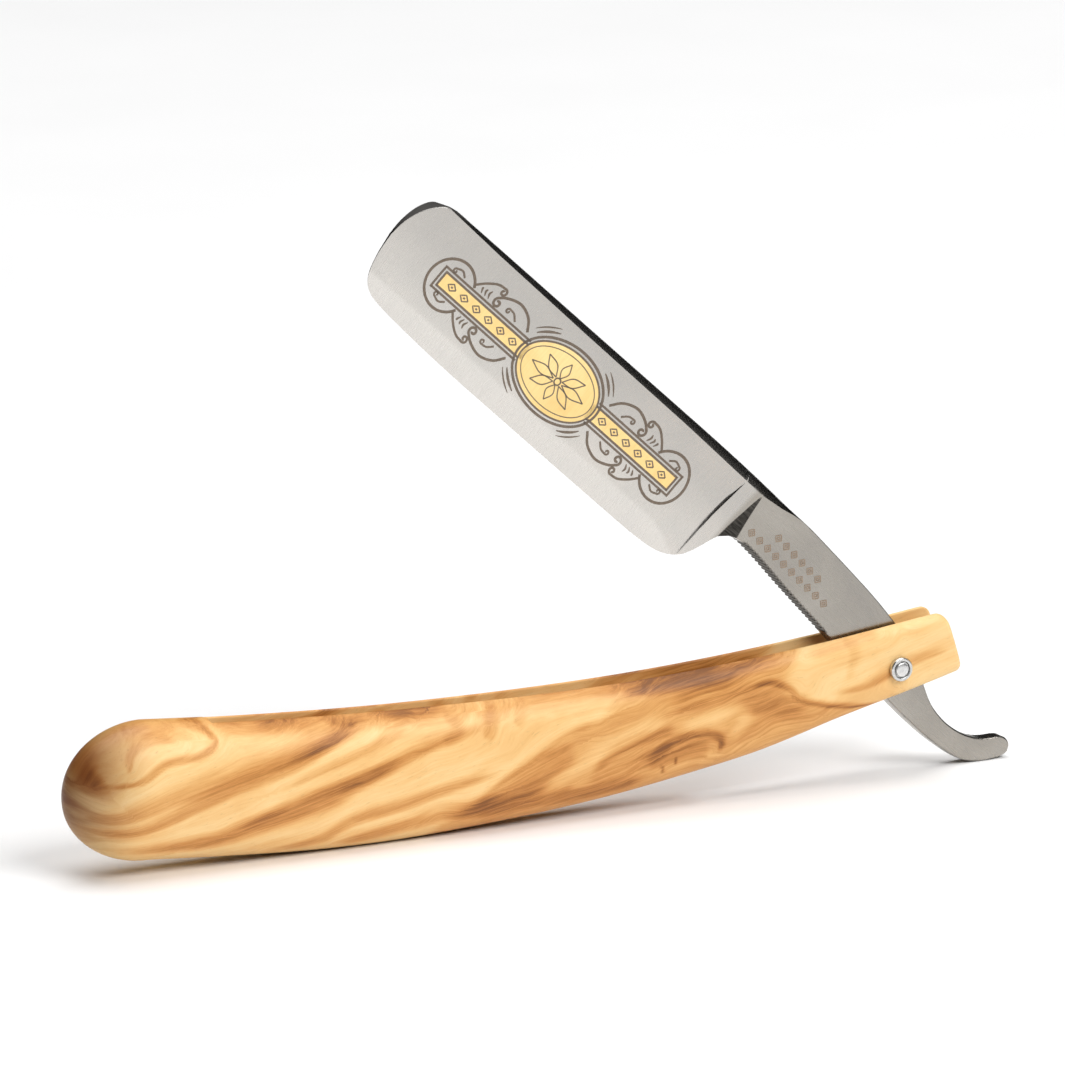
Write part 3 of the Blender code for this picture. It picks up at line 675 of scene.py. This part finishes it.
def streak_fields(points):
    """Figure strength and the coordinate across the grain, at points (x, z) from the pivot."""
    tone = np.zeros(len(points))
    light = np.zeros(len(points))
    rise = math.tan(math.radians(GRAIN))
    run = math.cos(math.radians(GRAIN))
    across = (points[:, 1] - rise * points[:, 0]) * run * GRAIN_WEIGHT
    weight = np.full(len(points), GRAIN_WEIGHT)
    left = np.interp(points[:, 1], *zip(*HEART_LEFT))
    right = np.interp(points[:, 1], *zip(*HEART_RIGHT))
    heart = smooth_step(points[:, 0] - left, -1.5, 2.5) * smooth_step(right - points[:, 0], -1.2, 2.0)
    for line, half, strength in STREAKS:
        curve = spline(line, 6)
        low, high = curve.min(0) - STREAK_REACH, curve.max(0) + STREAK_REACH
        near = np.where(np.all((points > low) & (points < high), axis=1))[0]
        if not len(near):
            continue
        local = points[near]
        best = np.full(len(near), 1e9)
        signed = np.zeros(len(near))
        where = np.zeros(len(near))
        total = len(curve) - 1
        for k, (a, b) in enumerate(zip(curve[:-1], curve[1:])):
            ab = b - a
            t = np.clip(((local - a) @ ab) / max(1e-9, ab @ ab), 0.0, 1.0)
            gap = local - a - t[:, None] * ab
            d = np.linalg.norm(gap, axis=1)
            closer = d < best
            turn = np.sign(ab[0] * gap[:, 1] - ab[1] * gap[:, 0])
            signed = np.where(closer, d * turn, signed)
            where = np.where(closer, (k + t) / total, where)
            best = np.where(closer, d, best)
        taper = half * (0.40 + 0.60 * np.sin(np.pi * np.clip(where, 0.0, 1.0)) ** 0.6)
        # one side of a growth streak is crisp, the other fades
        reach = taper * np.where(signed > 0.0, 1.55, 0.95)
        inside = np.exp(-(best / reach) ** 2.8)
        inside *= smooth_step(np.minimum(where, 1.0 - where), -0.03, 0.13)
        if strength > 0.0:
            tone[near] += strength * inside * (1.0 - 0.5 * np.clip(tone[near], 0.0, 1.0))
        else:
            light[near] = np.maximum(light[near], -strength * inside)
        if curve[-1][0] - curve[0][0] > 4.0:
            middle = curve.mean(0)
            own = (middle[1] - rise * middle[0]) * run
            pull = np.exp(-(best / 3.0) ** 2) * (1.0 - 0.8 * heart[near])
            across[near] += pull * (own + signed)
            weight[near] += pull
    heart = HEART_TONE * heart
    tone = tone + heart - light * (heart + 0.5 * tone)
    return np.clip(tone, 0.0, 1.0), across / weight


def make_handle(mat):
    rows = handle_rows()
    both = grid_mesh("handle_wood", [rows, rows * np.array([1.0, -1.0, 1.0])], True)
    bm = bmesh.new()
    bm.from_mesh(both)
    bmesh.ops.remove_doubles(bm, verts=bm.verts, dist=WELD)
    # the closing face of each half's ring lies in the middle plane: take it out
    flat = [f for f in bm.faces if all(abs(v.co.y) < 1e-6 for v in f.verts)]
    bmesh.ops.delete(bm, geom=flat, context="FACES_ONLY")
    bm.to_mesh(both)
    bm.free()
    clean(both, HANDLE_CREASE)
    wood = clean(bored(both), HANDLE_CREASE)
    co = np.array([v.co for v in wood.vertices]) / MM
    x, y, z = co.T
    depth = THROUGH_GRAIN * (y + handle_half(x))
    figure, across = streak_fields(np.stack([x, z - depth], 1))
    # a browner band that follows the handle's upper edge: partly a streak in the wood, partly painted
    # shade where the top turns from the light
    top = handle_top(x)
    brow_streak_and_shade = smooth_step(z, top - 3.2, top - 1.0) * smooth_step(x, -134.0, -120.0)
    brow_streak_and_shade = brow_streak_and_shade * (1.0 - smooth_step(x, -26.0, -14.0))
    brow_streak_and_shade = brow_streak_and_shade * (0.62 + 0.38 * np.sin(0.21 * x + 0.9) * np.sin(0.083 * x + 2.0))
    lip = outer_height(slot_half(x), x, 1)
    inside = (np.abs(y) < slot_half(x) + 0.02) & (x > SLOT_END - 0.05) & (z < lip - 0.2)
    brow_streak_and_shade = brow_streak_and_shade * (1.0 - 0.75 * inside)
    figure = np.clip(figure + 0.54 * brow_streak_and_shade * (1.0 - figure), 0.0, 1.0)
    # painted shade in the slot: its walls darken with depth below the lip, less so towards the pivot
    # end
    inner = inside * (0.02 + 0.45 * smooth_step(lip - z, 3.0, 8.0)) * (
        1.0 - 0.6 * smooth_step(x, -8.0, 2.0))
    write_fields(wood, figure=figure, across=across, inner=inner)
    handle = place("handle_wood", wood, "handle_body", mat)
    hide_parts("handle")


# ---- blade
upper_line = height_function(UPPER_LINE)
lower_line = height_function(LOWER_LINE)


def ridge_height(u):
    """Where the hollow grind meets the back."""
    return np.interp(u, (26.0, 29.6, 32.5, 36.6, 42.0, 54.0, 78.0, 98.0, 109.4),
                     (7.35, 7.05, 6.70, 6.25, 6.30, 6.60, 6.80, 7.1, 7.45))


def ridge_half(u):
    """Half thickness at that ridge."""
    return np.interp(u, (38.0, 42.0, 114.0), (APEX_HALF, 2.65, 2.3))


def hollow_half(u, v):
    """Half thickness of the hollow-ground section."""
    ridge = ridge_height(u)
    share = np.maximum(0.0, (np.minimum(v, ridge) - EDGE) / (ridge - EDGE))
    return EDGE_HALF + (ridge_half(u) - EDGE_HALF) * share ** HOLLOW_POWER


def rib_half(v):
    """Half thickness of the rib at the shoulder."""
    return np.interp(v, (-11.0, -9.5, -7.0, -4.0, -0.5, 4.0, 6.0),
                     (0.05, 0.07, 0.14, 0.30, 0.76, 1.82, APEX_HALF))


def tang_half(u, v):
    """Half thickness of the tang and the tail."""
    flat = np.interp(u, (-26.0, -8.0, 20.0, 33.0), (TAIL_HALF, TANG_HALF, TANG_HALF, SHOULDER_HALF))
    upper = np.clip((v + 1.0) / (APEX + 1.0), 0.0, 1.0)
    return flat + smooth_step(u, 24.0, 38.0) * upper * upper * (APEX_HALF - SHOULDER_HALF)


# Sections through the shoulder: (u at the apex, lean per mm below it, hollow's share, rib's share)
SHOULDER = [(33.9, -0.04, 0.0, 0.0), (35.1, -0.09, 0.0, 0.0), (36.6, -0.146, 0.0, 0.0),
            (36.85, 0.09, 0.0, 1.0), (38.6, 0.07, 0.0, 1.0), (40.35, 0.05, 0.0, 1.0),
            (40.43, 0.053, 0.2, 0.8), (40.53, 0.06, 0.8, 0.2), (40.62, 0.07, 1.0, 0.0),
            (42.6, 0.06, 1.0, 0.0), (44.4, 0.03, 1.0, 0.0), (46.8, 0.0, 1.0, 0.0)]


def stations():
    """The blade's sections from tail to nose: (u, lean, hollow, rib, notch depth) each."""
    tail_tip = LOWER_LINE[0][0]
    nose_tip = LOWER_LINE[-1][0]
    tang = (0.0, 0.0, 0.0, 0.0)
    ground = (0.0, 1.0, 0.0, 0.0)
    tail = [tail_tip + TAIL_REACH * (1.0 - cos_sin(a)[0]) for a in np.linspace(2.0, 90.0, 22)]
    nose = [nose_tip - NOSE_REACH * (1.0 - cos_sin(a)[0]) for a in np.linspace(90.0, 1.5, 46)]
    row = [(float(u),) + tang for u in [*tail, *np.arange(-23.0, JIMP_START - 0.3, 0.5)]]
    for k in range(JIMP_COUNT):
        for share, depth in ((0.0, 0.0), (0.22, 0.0), (0.5, JIMP_DEPTH), (0.66, JIMP_DEPTH)):
            row.append((JIMP_START + (k + share) * JIMP_PITCH, 0.0, 0.0, 0.0, depth))
    row.append((JIMP_START + JIMP_COUNT * JIMP_PITCH,) + tang)
    for near, far in zip(SHOULDER[:-1], SHOULDER[1:]):
        crisp = far[3] - near[3] == 1.0
        for share in ((0.0, 0.05, 0.5, 0.95) if crisp else (0.0, 0.25, 0.5, 0.75)):
            row.append(tuple(a + (b - a) * share for a, b in zip(near, far)) + (0.0,))
    face = np.arange(SHOULDER[-1][0], nose_tip - NOSE_REACH, 0.8)
    return row + [(float(u),) + ground for u in [*face, *nose]]


def blade_half(u, v, hollow, rib):
    """Half thickness; hollow and rib are the shares of those sections, the tang has the rest."""
    return hollow * hollow_half(u, v) + rib * rib_half(v) + (1.0 - hollow - rib) * tang_half(u, v)


def blade_ring(station):
    """The closed outline of one section, with the back's arch, both faces and the edge."""
    u0, lean, hollow, rib, notch = station
    v_top = float(upper_line(u0))
    u_low = u0
    for _ in range(8):
        v_low = float(lower_line(u_low)) + notch
        u_low = u0 + lean * max(0.0, APEX - v_low)

    def half(v):
        u = u0 + lean * max(0.0, APEX - v)
        return float(blade_half(u, v, hollow, rib))

    # full is the back's share of the arch; elsewhere its edges are softened by soft
    tall = v_top - v_low
    soft = float(np.interp(u0, (-26.0, -4.0, 12.0), (0.30, 0.26, 0.14)))
    full = float(smooth_step(u0, 25.0, 33.0) * (1.0 - smooth_step(u0, 108.8, 109.8)))
    drop_top = min(max(v_top - float(ridge_height(u0)), 0.1), 0.3 * tall) * full
    drop_top += (1.0 - full) * min(soft, 0.22 * tall)
    widest = half(v_top - drop_top)
    ease_top = full * widest + (1.0 - full) * min(soft, 0.4 * half(v_top))
    thin = float(smooth_step(u0, 40.0, 46.0))
    drop_low = (1.0 - thin) * min(soft, 0.22 * tall) + thin * 0.08
    ease_low = (1.0 - thin) * min(soft, 0.5 * half(v_low)) + thin * 0.8 * half(v_low)

    near = []
    arch = (widest ** 2 + drop_top ** 2) / (2.0 * drop_top)
    spread = math.asin(min(1.0, widest / arch))
    for a in np.linspace(0.0, 90.0, 14):
        c, s = cos_sin(a)
        soft_point = np.array([widest - ease_top * (1.0 - s), v_top - drop_top * (1.0 - c)])
        turn = spread * a / 90.0
        arch_point = np.array([arch * math.sin(turn), v_top - arch * (1.0 - math.cos(turn))])
        near.append(tuple(soft_point + (arch_point - soft_point) * full))
    face_top = v_top - drop_top
    face_low = v_low + drop_low
    for share in np.linspace(0.0, 1.0, 42)[1:-1]:
        v = face_top + (face_low - face_top) * share
        near.append((half(v), v))
    for a in np.linspace(0.0, 90.0, 5):
        c, s = cos_sin(a)
        near.append((half(face_low) - ease_low * (1.0 - c), face_low - drop_low * s))
    points = near + [(-t, v) for t, v in reversed(near)]
    return [(-(u0 + lean * max(0.0, APEX - v)), -t, v) for t, v in points]


def make_blade(mat):
    rows = [blade_ring(s) for s in stations()]
    first, last = np.array(rows[0]), np.array(rows[-1])
    rows = [[tuple(first.mean(0))] * len(first)] + rows + [[tuple(last.mean(0))] * len(last)]
    mesh = clean(grid_mesh("blade_steel", [opened(np.array(rows))], True), BLADE_CREASE)
    mesh = clean(bored(mesh), BLADE_CREASE)
    co = np.array([v.co for v in mesh.vertices]) / MM
    c, s = cos_sin(OPEN_ANGLE)
    u, v = -(c * co[:, 0] - s * co[:, 2]), s * co[:, 0] + c * co[:, 2]
    # the notches under the tang are painted darker
    inside = smooth_step(u, JIMP_START - 0.6, JIMP_START) * (
        1.0 - smooth_step(u, JIMP_START + JIMP_COUNT * JIMP_PITCH, 34.5))
    grime = inside * (1.0 - smooth_step(v - lower_line(u), 0.12, 0.36))
    # painted shade: the unground wedge between the tang and the shoulder's rib, whose facet turns from
    # the light, is painted nearly black
    depth = APEX - v
    start, stop = (u0 + lean * depth for u0, lean, _, _ in SHOULDER[2:4])
    share = (u - start) / np.maximum(0.1, stop - start)
    wedge = smooth_step(share, 0.0, 0.05) * (1.0 - smooth_step(share, 0.95, 1.0))
    grime = np.maximum(grime, wedge * smooth_step(depth, 0.05, 0.9))
    # painted shade: the nose's cap, where it turns from the faces, is painted darker, and it is left
    # duller than the hollows
    sideways = np.abs(np.array([n.vector[1] for n in mesh.vertex_normals]))
    dull = (1.0 - smooth_step(sideways, 0.80, 0.93)) * smooth_step(u, 104.0, 108.0) * (v > 0.0)
    write_fields(mesh, grime=grime, dull=dull)
    blade = place("blade_steel", mesh, "blade_body", mat)
    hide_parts("blade")


# ---- ornament on the blade's front face
LIFT_GILT = 0.012  # how far the gilding and the lines lie off the steel
LIFT_LINE = 0.024
AXIS_START = np.array([48.85, -1.30])  # middle of the band's heel end (u, v)
AXIS_STOP = np.array([102.95, -0.95])  # middle of its nose end
BAND_LONG_HALF = 0.5 * float(np.linalg.norm(AXIS_STOP - AXIS_START))
BAND_HALF = 1.82  # half height of the band's outer frame
GILT_HALF = 1.22  # half height of the gilt strip
MEDAL = (8.1, 5.1)  # half length and half height of the medallion
LINE = 0.36  # width of the frame's lines
GILT_INSET = 0.65  # from the outer frame's ends to the gilt strip's
RING = 4.1  # radius of the rings at the band's ends


def laid(points, half, lift):
    """Blade points (u, v) just off a face; half(u, v) is the blade's half thickness there."""
    u, v = points[..., 0], points[..., 1]
    return opened(np.stack([-u, -half(u, v) - lift, v], -1))


def band_sheet(grid, lift):
    """A grid in the band's own measures (from its middle, along and up) laid on the blade."""
    middle = 0.5 * (AXIS_START + AXIS_STOP)
    direction = (AXIS_STOP - AXIS_START) / np.linalg.norm(AXIS_STOP - AXIS_START)
    normal = np.array([-direction[1], direction[0]])
    points = middle + grid[..., :1] * direction + grid[..., 1:] * normal
    return laid(points, hollow_half, lift)


def ribbon(line, width):
    """A flat strip along a line of (along, up) points, as a grid of three columns."""
    line = np.asarray(line, dtype=float)
    step = np.gradient(line, axis=0)
    step /= np.maximum(1e-9, np.linalg.norm(step, axis=1))[:, None]
    side = np.stack([-step[:, 1], step[:, 0]], 1) * 0.5
    widths = np.broadcast_to(np.asarray(width, dtype=float), (len(line),))[:, None]
    return np.stack([line - side * widths, line, line + side * widths], 1)


def sampled(points, step=0.25):
    """Straight runs between points, cut into short steps."""
    out = []
    for a, b in zip(points[:-1], points[1:]):
        count = max(1, int(math.dist(a, b) / step))
        for k in range(count):
            out.append(tuple(np.array(a) + (np.array(b) - np.array(a)) * k / count))
    out.append(points[-1])
    return out


def lozenge(x, y, half_long, half_high):
    return sampled([(x - half_long, y), (x, y + half_high), (x + half_long, y),
                    (x, y - half_high), (x - half_long, y)])


def arc(middle, rx, ry, start, stop, count):
    """Part of an ellipse whose middle is on the band's axis; angles in degrees."""
    a = np.radians(np.linspace(start, stop, count))
    return np.stack([middle + rx * np.cos(a), ry * np.sin(a)], 1)


def curled(knots, samples, radius, turn, wind=1.05):
    """A curve with a spiral on its far end that winds to one side (turn 1 or -1)."""
    line = spline(knots, samples)
    step = line[-1] - line[-2]
    step /= np.linalg.norm(step)
    centre = line[-1] + turn * radius * np.array([-step[1], step[0]])
    start = math.atan2(*(line[-1] - centre)[::-1])
    share = np.linspace(0.0, 1.0, 44)
    a = start + turn * 2.0 * math.pi * wind * share
    r = radius * (1.0 - 0.74 * share)
    spiral = np.stack([centre[0] + r * np.cos(a), centre[1] + r * np.sin(a)], 1)
    return np.vstack([line, spiral[1:]])


def tapered(count, width):
    """Widths along a line that thins out towards both ends."""
    thin = 0.35
    return width * (thin + (1.0 - thin) * np.sin(np.linspace(0.0, math.pi, count)))


def ornament_lines():
    """All etched strips: lines in band measures (along, up), each with its width."""
    ring = BAND_LONG_HALF - 2.4
    gap = math.degrees(math.asin((BAND_HALF + 0.3) / RING))
    # one quarter's lines, mirrored to all four
    quarter = [
        (curled([(9.4, 2.5), (10.9, 4.1), (13.4, 4.9), (15.9, 4.2), (17.0, 3.4)], 10,
                0.78, -1.0), 0.42),
        (curled([(ring - 3.2, 2.55), (ring - 4.6, 3.9), (ring - 6.2, 4.9), (ring - 7.6, 5.1)], 10,
                0.62, 1.0), 0.38),
        (curled([(12.2, 2.4), (13.2, 3.2), (14.2, 3.35)], 8, 0.42, -1.0, 0.9), 0.32),
        (curled([(ring - 1.2, 2.3), (ring - 0.2, 2.9), (ring + 0.9, 2.6)], 8, 0.42, -1.0, 0.9), 0.32),
    ]
    for k in range(3):
        x = 18.2 + 0.75 * k
        leaf = spline([(x, 2.3), (x + 0.35, 3.0), (x + 0.2, 3.6 - 0.25 * k)], 6)
        quarter.append((leaf, tapered(len(leaf), 0.34)))
    for offset, width in ((1.5, 0.42), (2.25, 0.26)):
        points = arc(0.0, MEDAL[0] + offset, MEDAL[1] + offset, 58.0, 31.0, 36)
        quarter.append((points, tapered(36, width)))
    strips = []
    for side in (-1.0, 1.0):
        for up in (-1.0, 1.0):
            flip = np.array([side, up])
            strips += [(points * flip, width) for points, width in quarter]
    for side in (-1.0, 1.0):
        start = side * (MEDAL[0] - 0.2)
        for half, inset in ((BAND_HALF, 0.0), (GILT_HALF, GILT_INSET)):
            stop = side * BAND_LONG_HALF - side * inset
            corner = half + LINE / 2
            for a, b in (((start, half), (stop, half)), ((start, -half), (stop, -half)),
                         ((stop, corner), (stop, -corner))):
                strips.append((sampled([a, b]), LINE))
        turned = 0.0 if side > 0.0 else 180.0
        first, last = turned - 180.0 + gap, turned + 180.0 - gap
        strips.append((arc(side * ring, RING, RING, first, last, 110), 0.44))
        # small lozenges along the gilt strip
        for k in range(6):
            x = side * (MEDAL[0] + 2.2 + 2.75 * k)
            strips.append((lozenge(x, 0.0, 0.85, 0.6), 0.22))
            strips.append((sampled([(x - 0.18, 0.0), (x + 0.18, 0.0)], 0.1), 0.30))
    # medallion: double rim and an eight-leaf rosette
    for grow, count, width in ((0.0, 150, 0.30), (0.64, 150, 0.42), (-0.8, 130, 0.16)):
        strips.append((arc(0, MEDAL[0] + grow, MEDAL[1] + grow, 0, 360, count), width))
    for k in range(8):
        reach = 0.80 * (np.array(MEDAL) - 0.9) * np.array(cos_sin(45.0 * k))
        normal = np.array([-reach[1], reach[0]]) / np.linalg.norm(reach) * 0.72
        for sign in (-1.0, 1.0):
            leaf = spline([0.16 * reach, 0.55 * reach + sign * normal, reach], 14)
            strips.append((leaf, 0.20))
    strips.append((arc(0, 0.55, 0.55, 0, 360, 30), 0.26))
    return strips


def tang_marks():
    """Two rows of small lozenges on the tang: lines in blade measures (u, v)."""
    strips = []
    for start, stop, count in (((16.2, 0.15), (34.0, 0.95), 10), ((19.6, 2.35), (29.6, 3.05), 6)):
        for u, v in np.linspace(start, stop, count):
            for size, width in ((0.66, 0.20), (0.26, 0.24)):
                strips.append((lozenge(u, v, size, size), width))
    return strips


def face_normals_out(mesh):
    """Smooths the mesh and turns all its faces to the blade's front."""
    bm = bmesh.new()
    bm.from_mesh(mesh)
    bm.normal_update()
    bmesh.ops.reverse_faces(bm, faces=[f for f in bm.faces if f.normal.y > 0.0])
    bm.to_mesh(mesh)
    bm.free()
    mesh.shade_smooth()


def make_ornament(gilt, line, mark):
    lines = [band_sheet(ribbon(points, width), LIFT_LINE) for points, width in ornament_lines()]
    marks = [laid(ribbon(points, width), tang_half, LIFT_LINE) for points, width in tang_marks()]
    etched = grid_mesh("etched_ornament", lines)
    plates = []
    for side in (-1.0, 1.0):
        along = np.linspace(side * (MEDAL[0] - 0.8), side * (BAND_LONG_HALF - GILT_INSET), 60)
        up = np.linspace(-GILT_HALF, GILT_HALF, 12)
        grid = np.stack(np.meshgrid(along, up, indexing="ij"), -1)
        plates.append(band_sheet(grid, LIFT_GILT))
    radius = np.linspace(0.0, 1.0, 24)
    angle = np.linspace(0.0, 2.0 * math.pi, 120)
    grid = np.stack([MEDAL[0] * np.outer(radius, np.cos(angle)),
                     MEDAL[1] * np.outer(radius, np.sin(angle))], -1)
    plates.append(band_sheet(grid, LIFT_GILT))
    gilded = grid_mesh("gilt_ornament", plates)
    for name, mesh, mat in (("etched_ornament", etched, line), ("gilt_ornament", gilded, gilt),
                            ("tang_marks", grid_mesh("tang_marks", marks), mark)):
        face_normals_out(mesh)
        place(name, mesh, "blade_body", mat)


# ---- pivot hardware
def rounded(profile, radius):
    """Profile (r, y) with its corners cut to small arcs."""
    out = []
    count = len(profile)
    for k in range(count):
        b = np.array(profile[k], dtype=float)
        a, c = np.array(profile[k - 1], dtype=float), np.array(profile[(k + 1) % count], dtype=float)
        ends = np.linalg.norm(a - b), np.linalg.norm(c - b)
        reach = min(radius, 0.45 * min(ends))
        p, q = b + (a - b) / ends[0] * reach, b + (c - b) / ends[1] * reach
        for t in np.linspace(0.0, 1.0, 5):
            out.append((1 - t) ** 2 * p + 2 * t * (1 - t) * b + t * t * q)
    return np.array(out)


def lathe(name, profile, side, body, mat, node, closed=True):
    """A turned piece about the pivot from its (r, y) profile; side 1 is the front."""
    angles = np.linspace(0.0, 2.0 * math.pi, 97)[:-1]
    rows = np.array([[(r * math.cos(a), -side * h, r * math.sin(a)) for r, h in profile]
                     for a in np.append(angles, angles[0])])
    mesh = clean(grid_mesh(name, [rows], closed), TURNED_CREASE)
    obj = place(name, mesh, body, mat)
    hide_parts(node)


def make_pivot(pin_mat, collar_mat, washer_mat):
    top = COLLAR_BASE + COLLAR_HEIGHT
    cup = top - COLLAR_CUP_DEPTH
    collar = rounded([(HOLE_RADIUS, cup), (COLLAR_CUP_RADIUS, cup), (COLLAR_CUP_RADIUS + 0.10, top),
                      (COLLAR_RADIUS - 0.14, top), (COLLAR_RADIUS, top - 0.16),
                      (COLLAR_RADIUS, COLLAR_BASE), (HOLE_RADIUS, COLLAR_BASE)], 0.09)
    low, high = WASHER_INNER_FACE, WASHER_INNER_FACE + WASHER_THICK
    washer = rounded([(HOLE_RADIUS, high), (WASHER_RADIUS, high), (WASHER_RADIUS, low),
                      (HOLE_RADIUS, low)], 0.06)
    for side, suffix in ((1.0, "front"), (-1.0, "back")):
        lathe("collar_ring_" + suffix, collar, side, "handle_body", collar_mat,
              "pin_collar_" + suffix)
        lathe("brass_washer_" + suffix, washer, side, "handle_body", washer_mat,
              "washer_" + suffix)
    base = cup + HEAD_GAP
    head = []
    for a in np.linspace(90.0, 0.0, 16):
        c, s = cos_sin(a)
        dimple = 0.05 * math.exp(-(PIN_HEAD_RADIUS * c / 0.28) ** 2)
        head.append((PIN_HEAD_RADIUS * c, base + PIN_HEAD_HEIGHT * (0.55 + 0.45 * s) - dimple))
    head += [(PIN_HEAD_RADIUS, base), (PIN_RADIUS, base)]
    profile = head + [(r, -h) for r, h in reversed(head)]
    profile[0] = (0.0, profile[0][1])
    profile[-1] = (0.0, profile[-1][1])
    lathe("peened_pin", profile, 1.0, "handle_body", pin_mat, "pivot_pin", closed=False)


# ---- studio
def make_studio():
    scene = bpy.context.scene
    scene.view_settings.view_transform = "Standard"
    floor_mesh = bpy.data.meshes.new("floor")
    corners = [(-4, -4, 0), (4, -4, 0), (4, 4, 0), (-4, 4, 0)]
    floor_mesh.from_pydata(corners, [], [(0, 1, 2, 3)])
    floor = scene_object("floor", floor_mesh)
    floor.location.z = -0.00005
    n = Nodes("pale_floor")
    colour = n.ramp(n.noise(n.mapping((20, 20, 20)), 2.0),
                    [(0.3, (0.93, 0.93, 0.93, 1)), (0.7, (0.95, 0.95, 0.95, 1))])
    floor_mesh.materials.append(n.finish(colour, 0.9, Specular_IOR_Level=0.1))

    def area(name, position, target, size_x, size_y, power):
        data = bpy.data.lights.new(name, "AREA")
        data.shape = "RECTANGLE"
        data.size, data.size_y = size_x, size_y
        data.energy = power
        lamp = scene_object(name, data)
        lamp.location = position
        direction = Vector(target) - Vector(position)
        lamp.rotation_euler = direction.to_track_quat("-Z", "Y").to_euler()

    area("overhead", (0.10, 0.25, 2.2), (0.05, 0.25, 0), 2.0, 1.8, 44)
    area("key", (0.50, -1.45, 1.40), (0, 0, 0.02), 1.5, 1.1, 33)

    # a dim surround that grows bright only overhead
    n = Nodes("studio", owners="worlds", shader="Background")
    split = n.add("SeparateXYZ", [(0, n.add("TexCoord").outputs["Generated"])])
    strength = n.range(split.outputs["Z"], 0.45, 0.95, 0.085, 0.8, smooth=True)
    n.link(strength, n.shader.inputs["Strength"])
    scene.world = n.owner

    # the camera stands in front and a little to the left, and looks down on the razor
    (ca, sa), (ce, se) = cos_sin(27.5), cos_sin(13.9)
    away = Vector((-sa * ce, -ca * ce, se))
    aim = PIVOT + Vector((-0.0609, 0.0, 0.0274))
    data = bpy.data.cameras.new("camera")
    data.sensor_width = 36.0
    data.lens = 450.9
    data.clip_end = 50.0
    camera = scene_object("camera", data)
    camera.location = aim + away * 2.0
    camera.rotation_euler = away.to_track_quat("Z", "Y").to_euler()
    scene.camera = camera


make_handle(olive_wood())
make_blade(ground_steel())
make_ornament(gilding(), etching("etched_line", linear(104, 92, 80), linear(136, 122, 108)),
              etching("engraved_mark", linear(140, 122, 104), linear(168, 150, 132)))
make_pivot(polished_steel("pin_steel_fine", (0.76, 0.76, 0.75, 1), 0.30),
           polished_steel("collar_steel_fine", (0.66, 0.66, 0.65, 1), 0.24), brass())
make_studio()
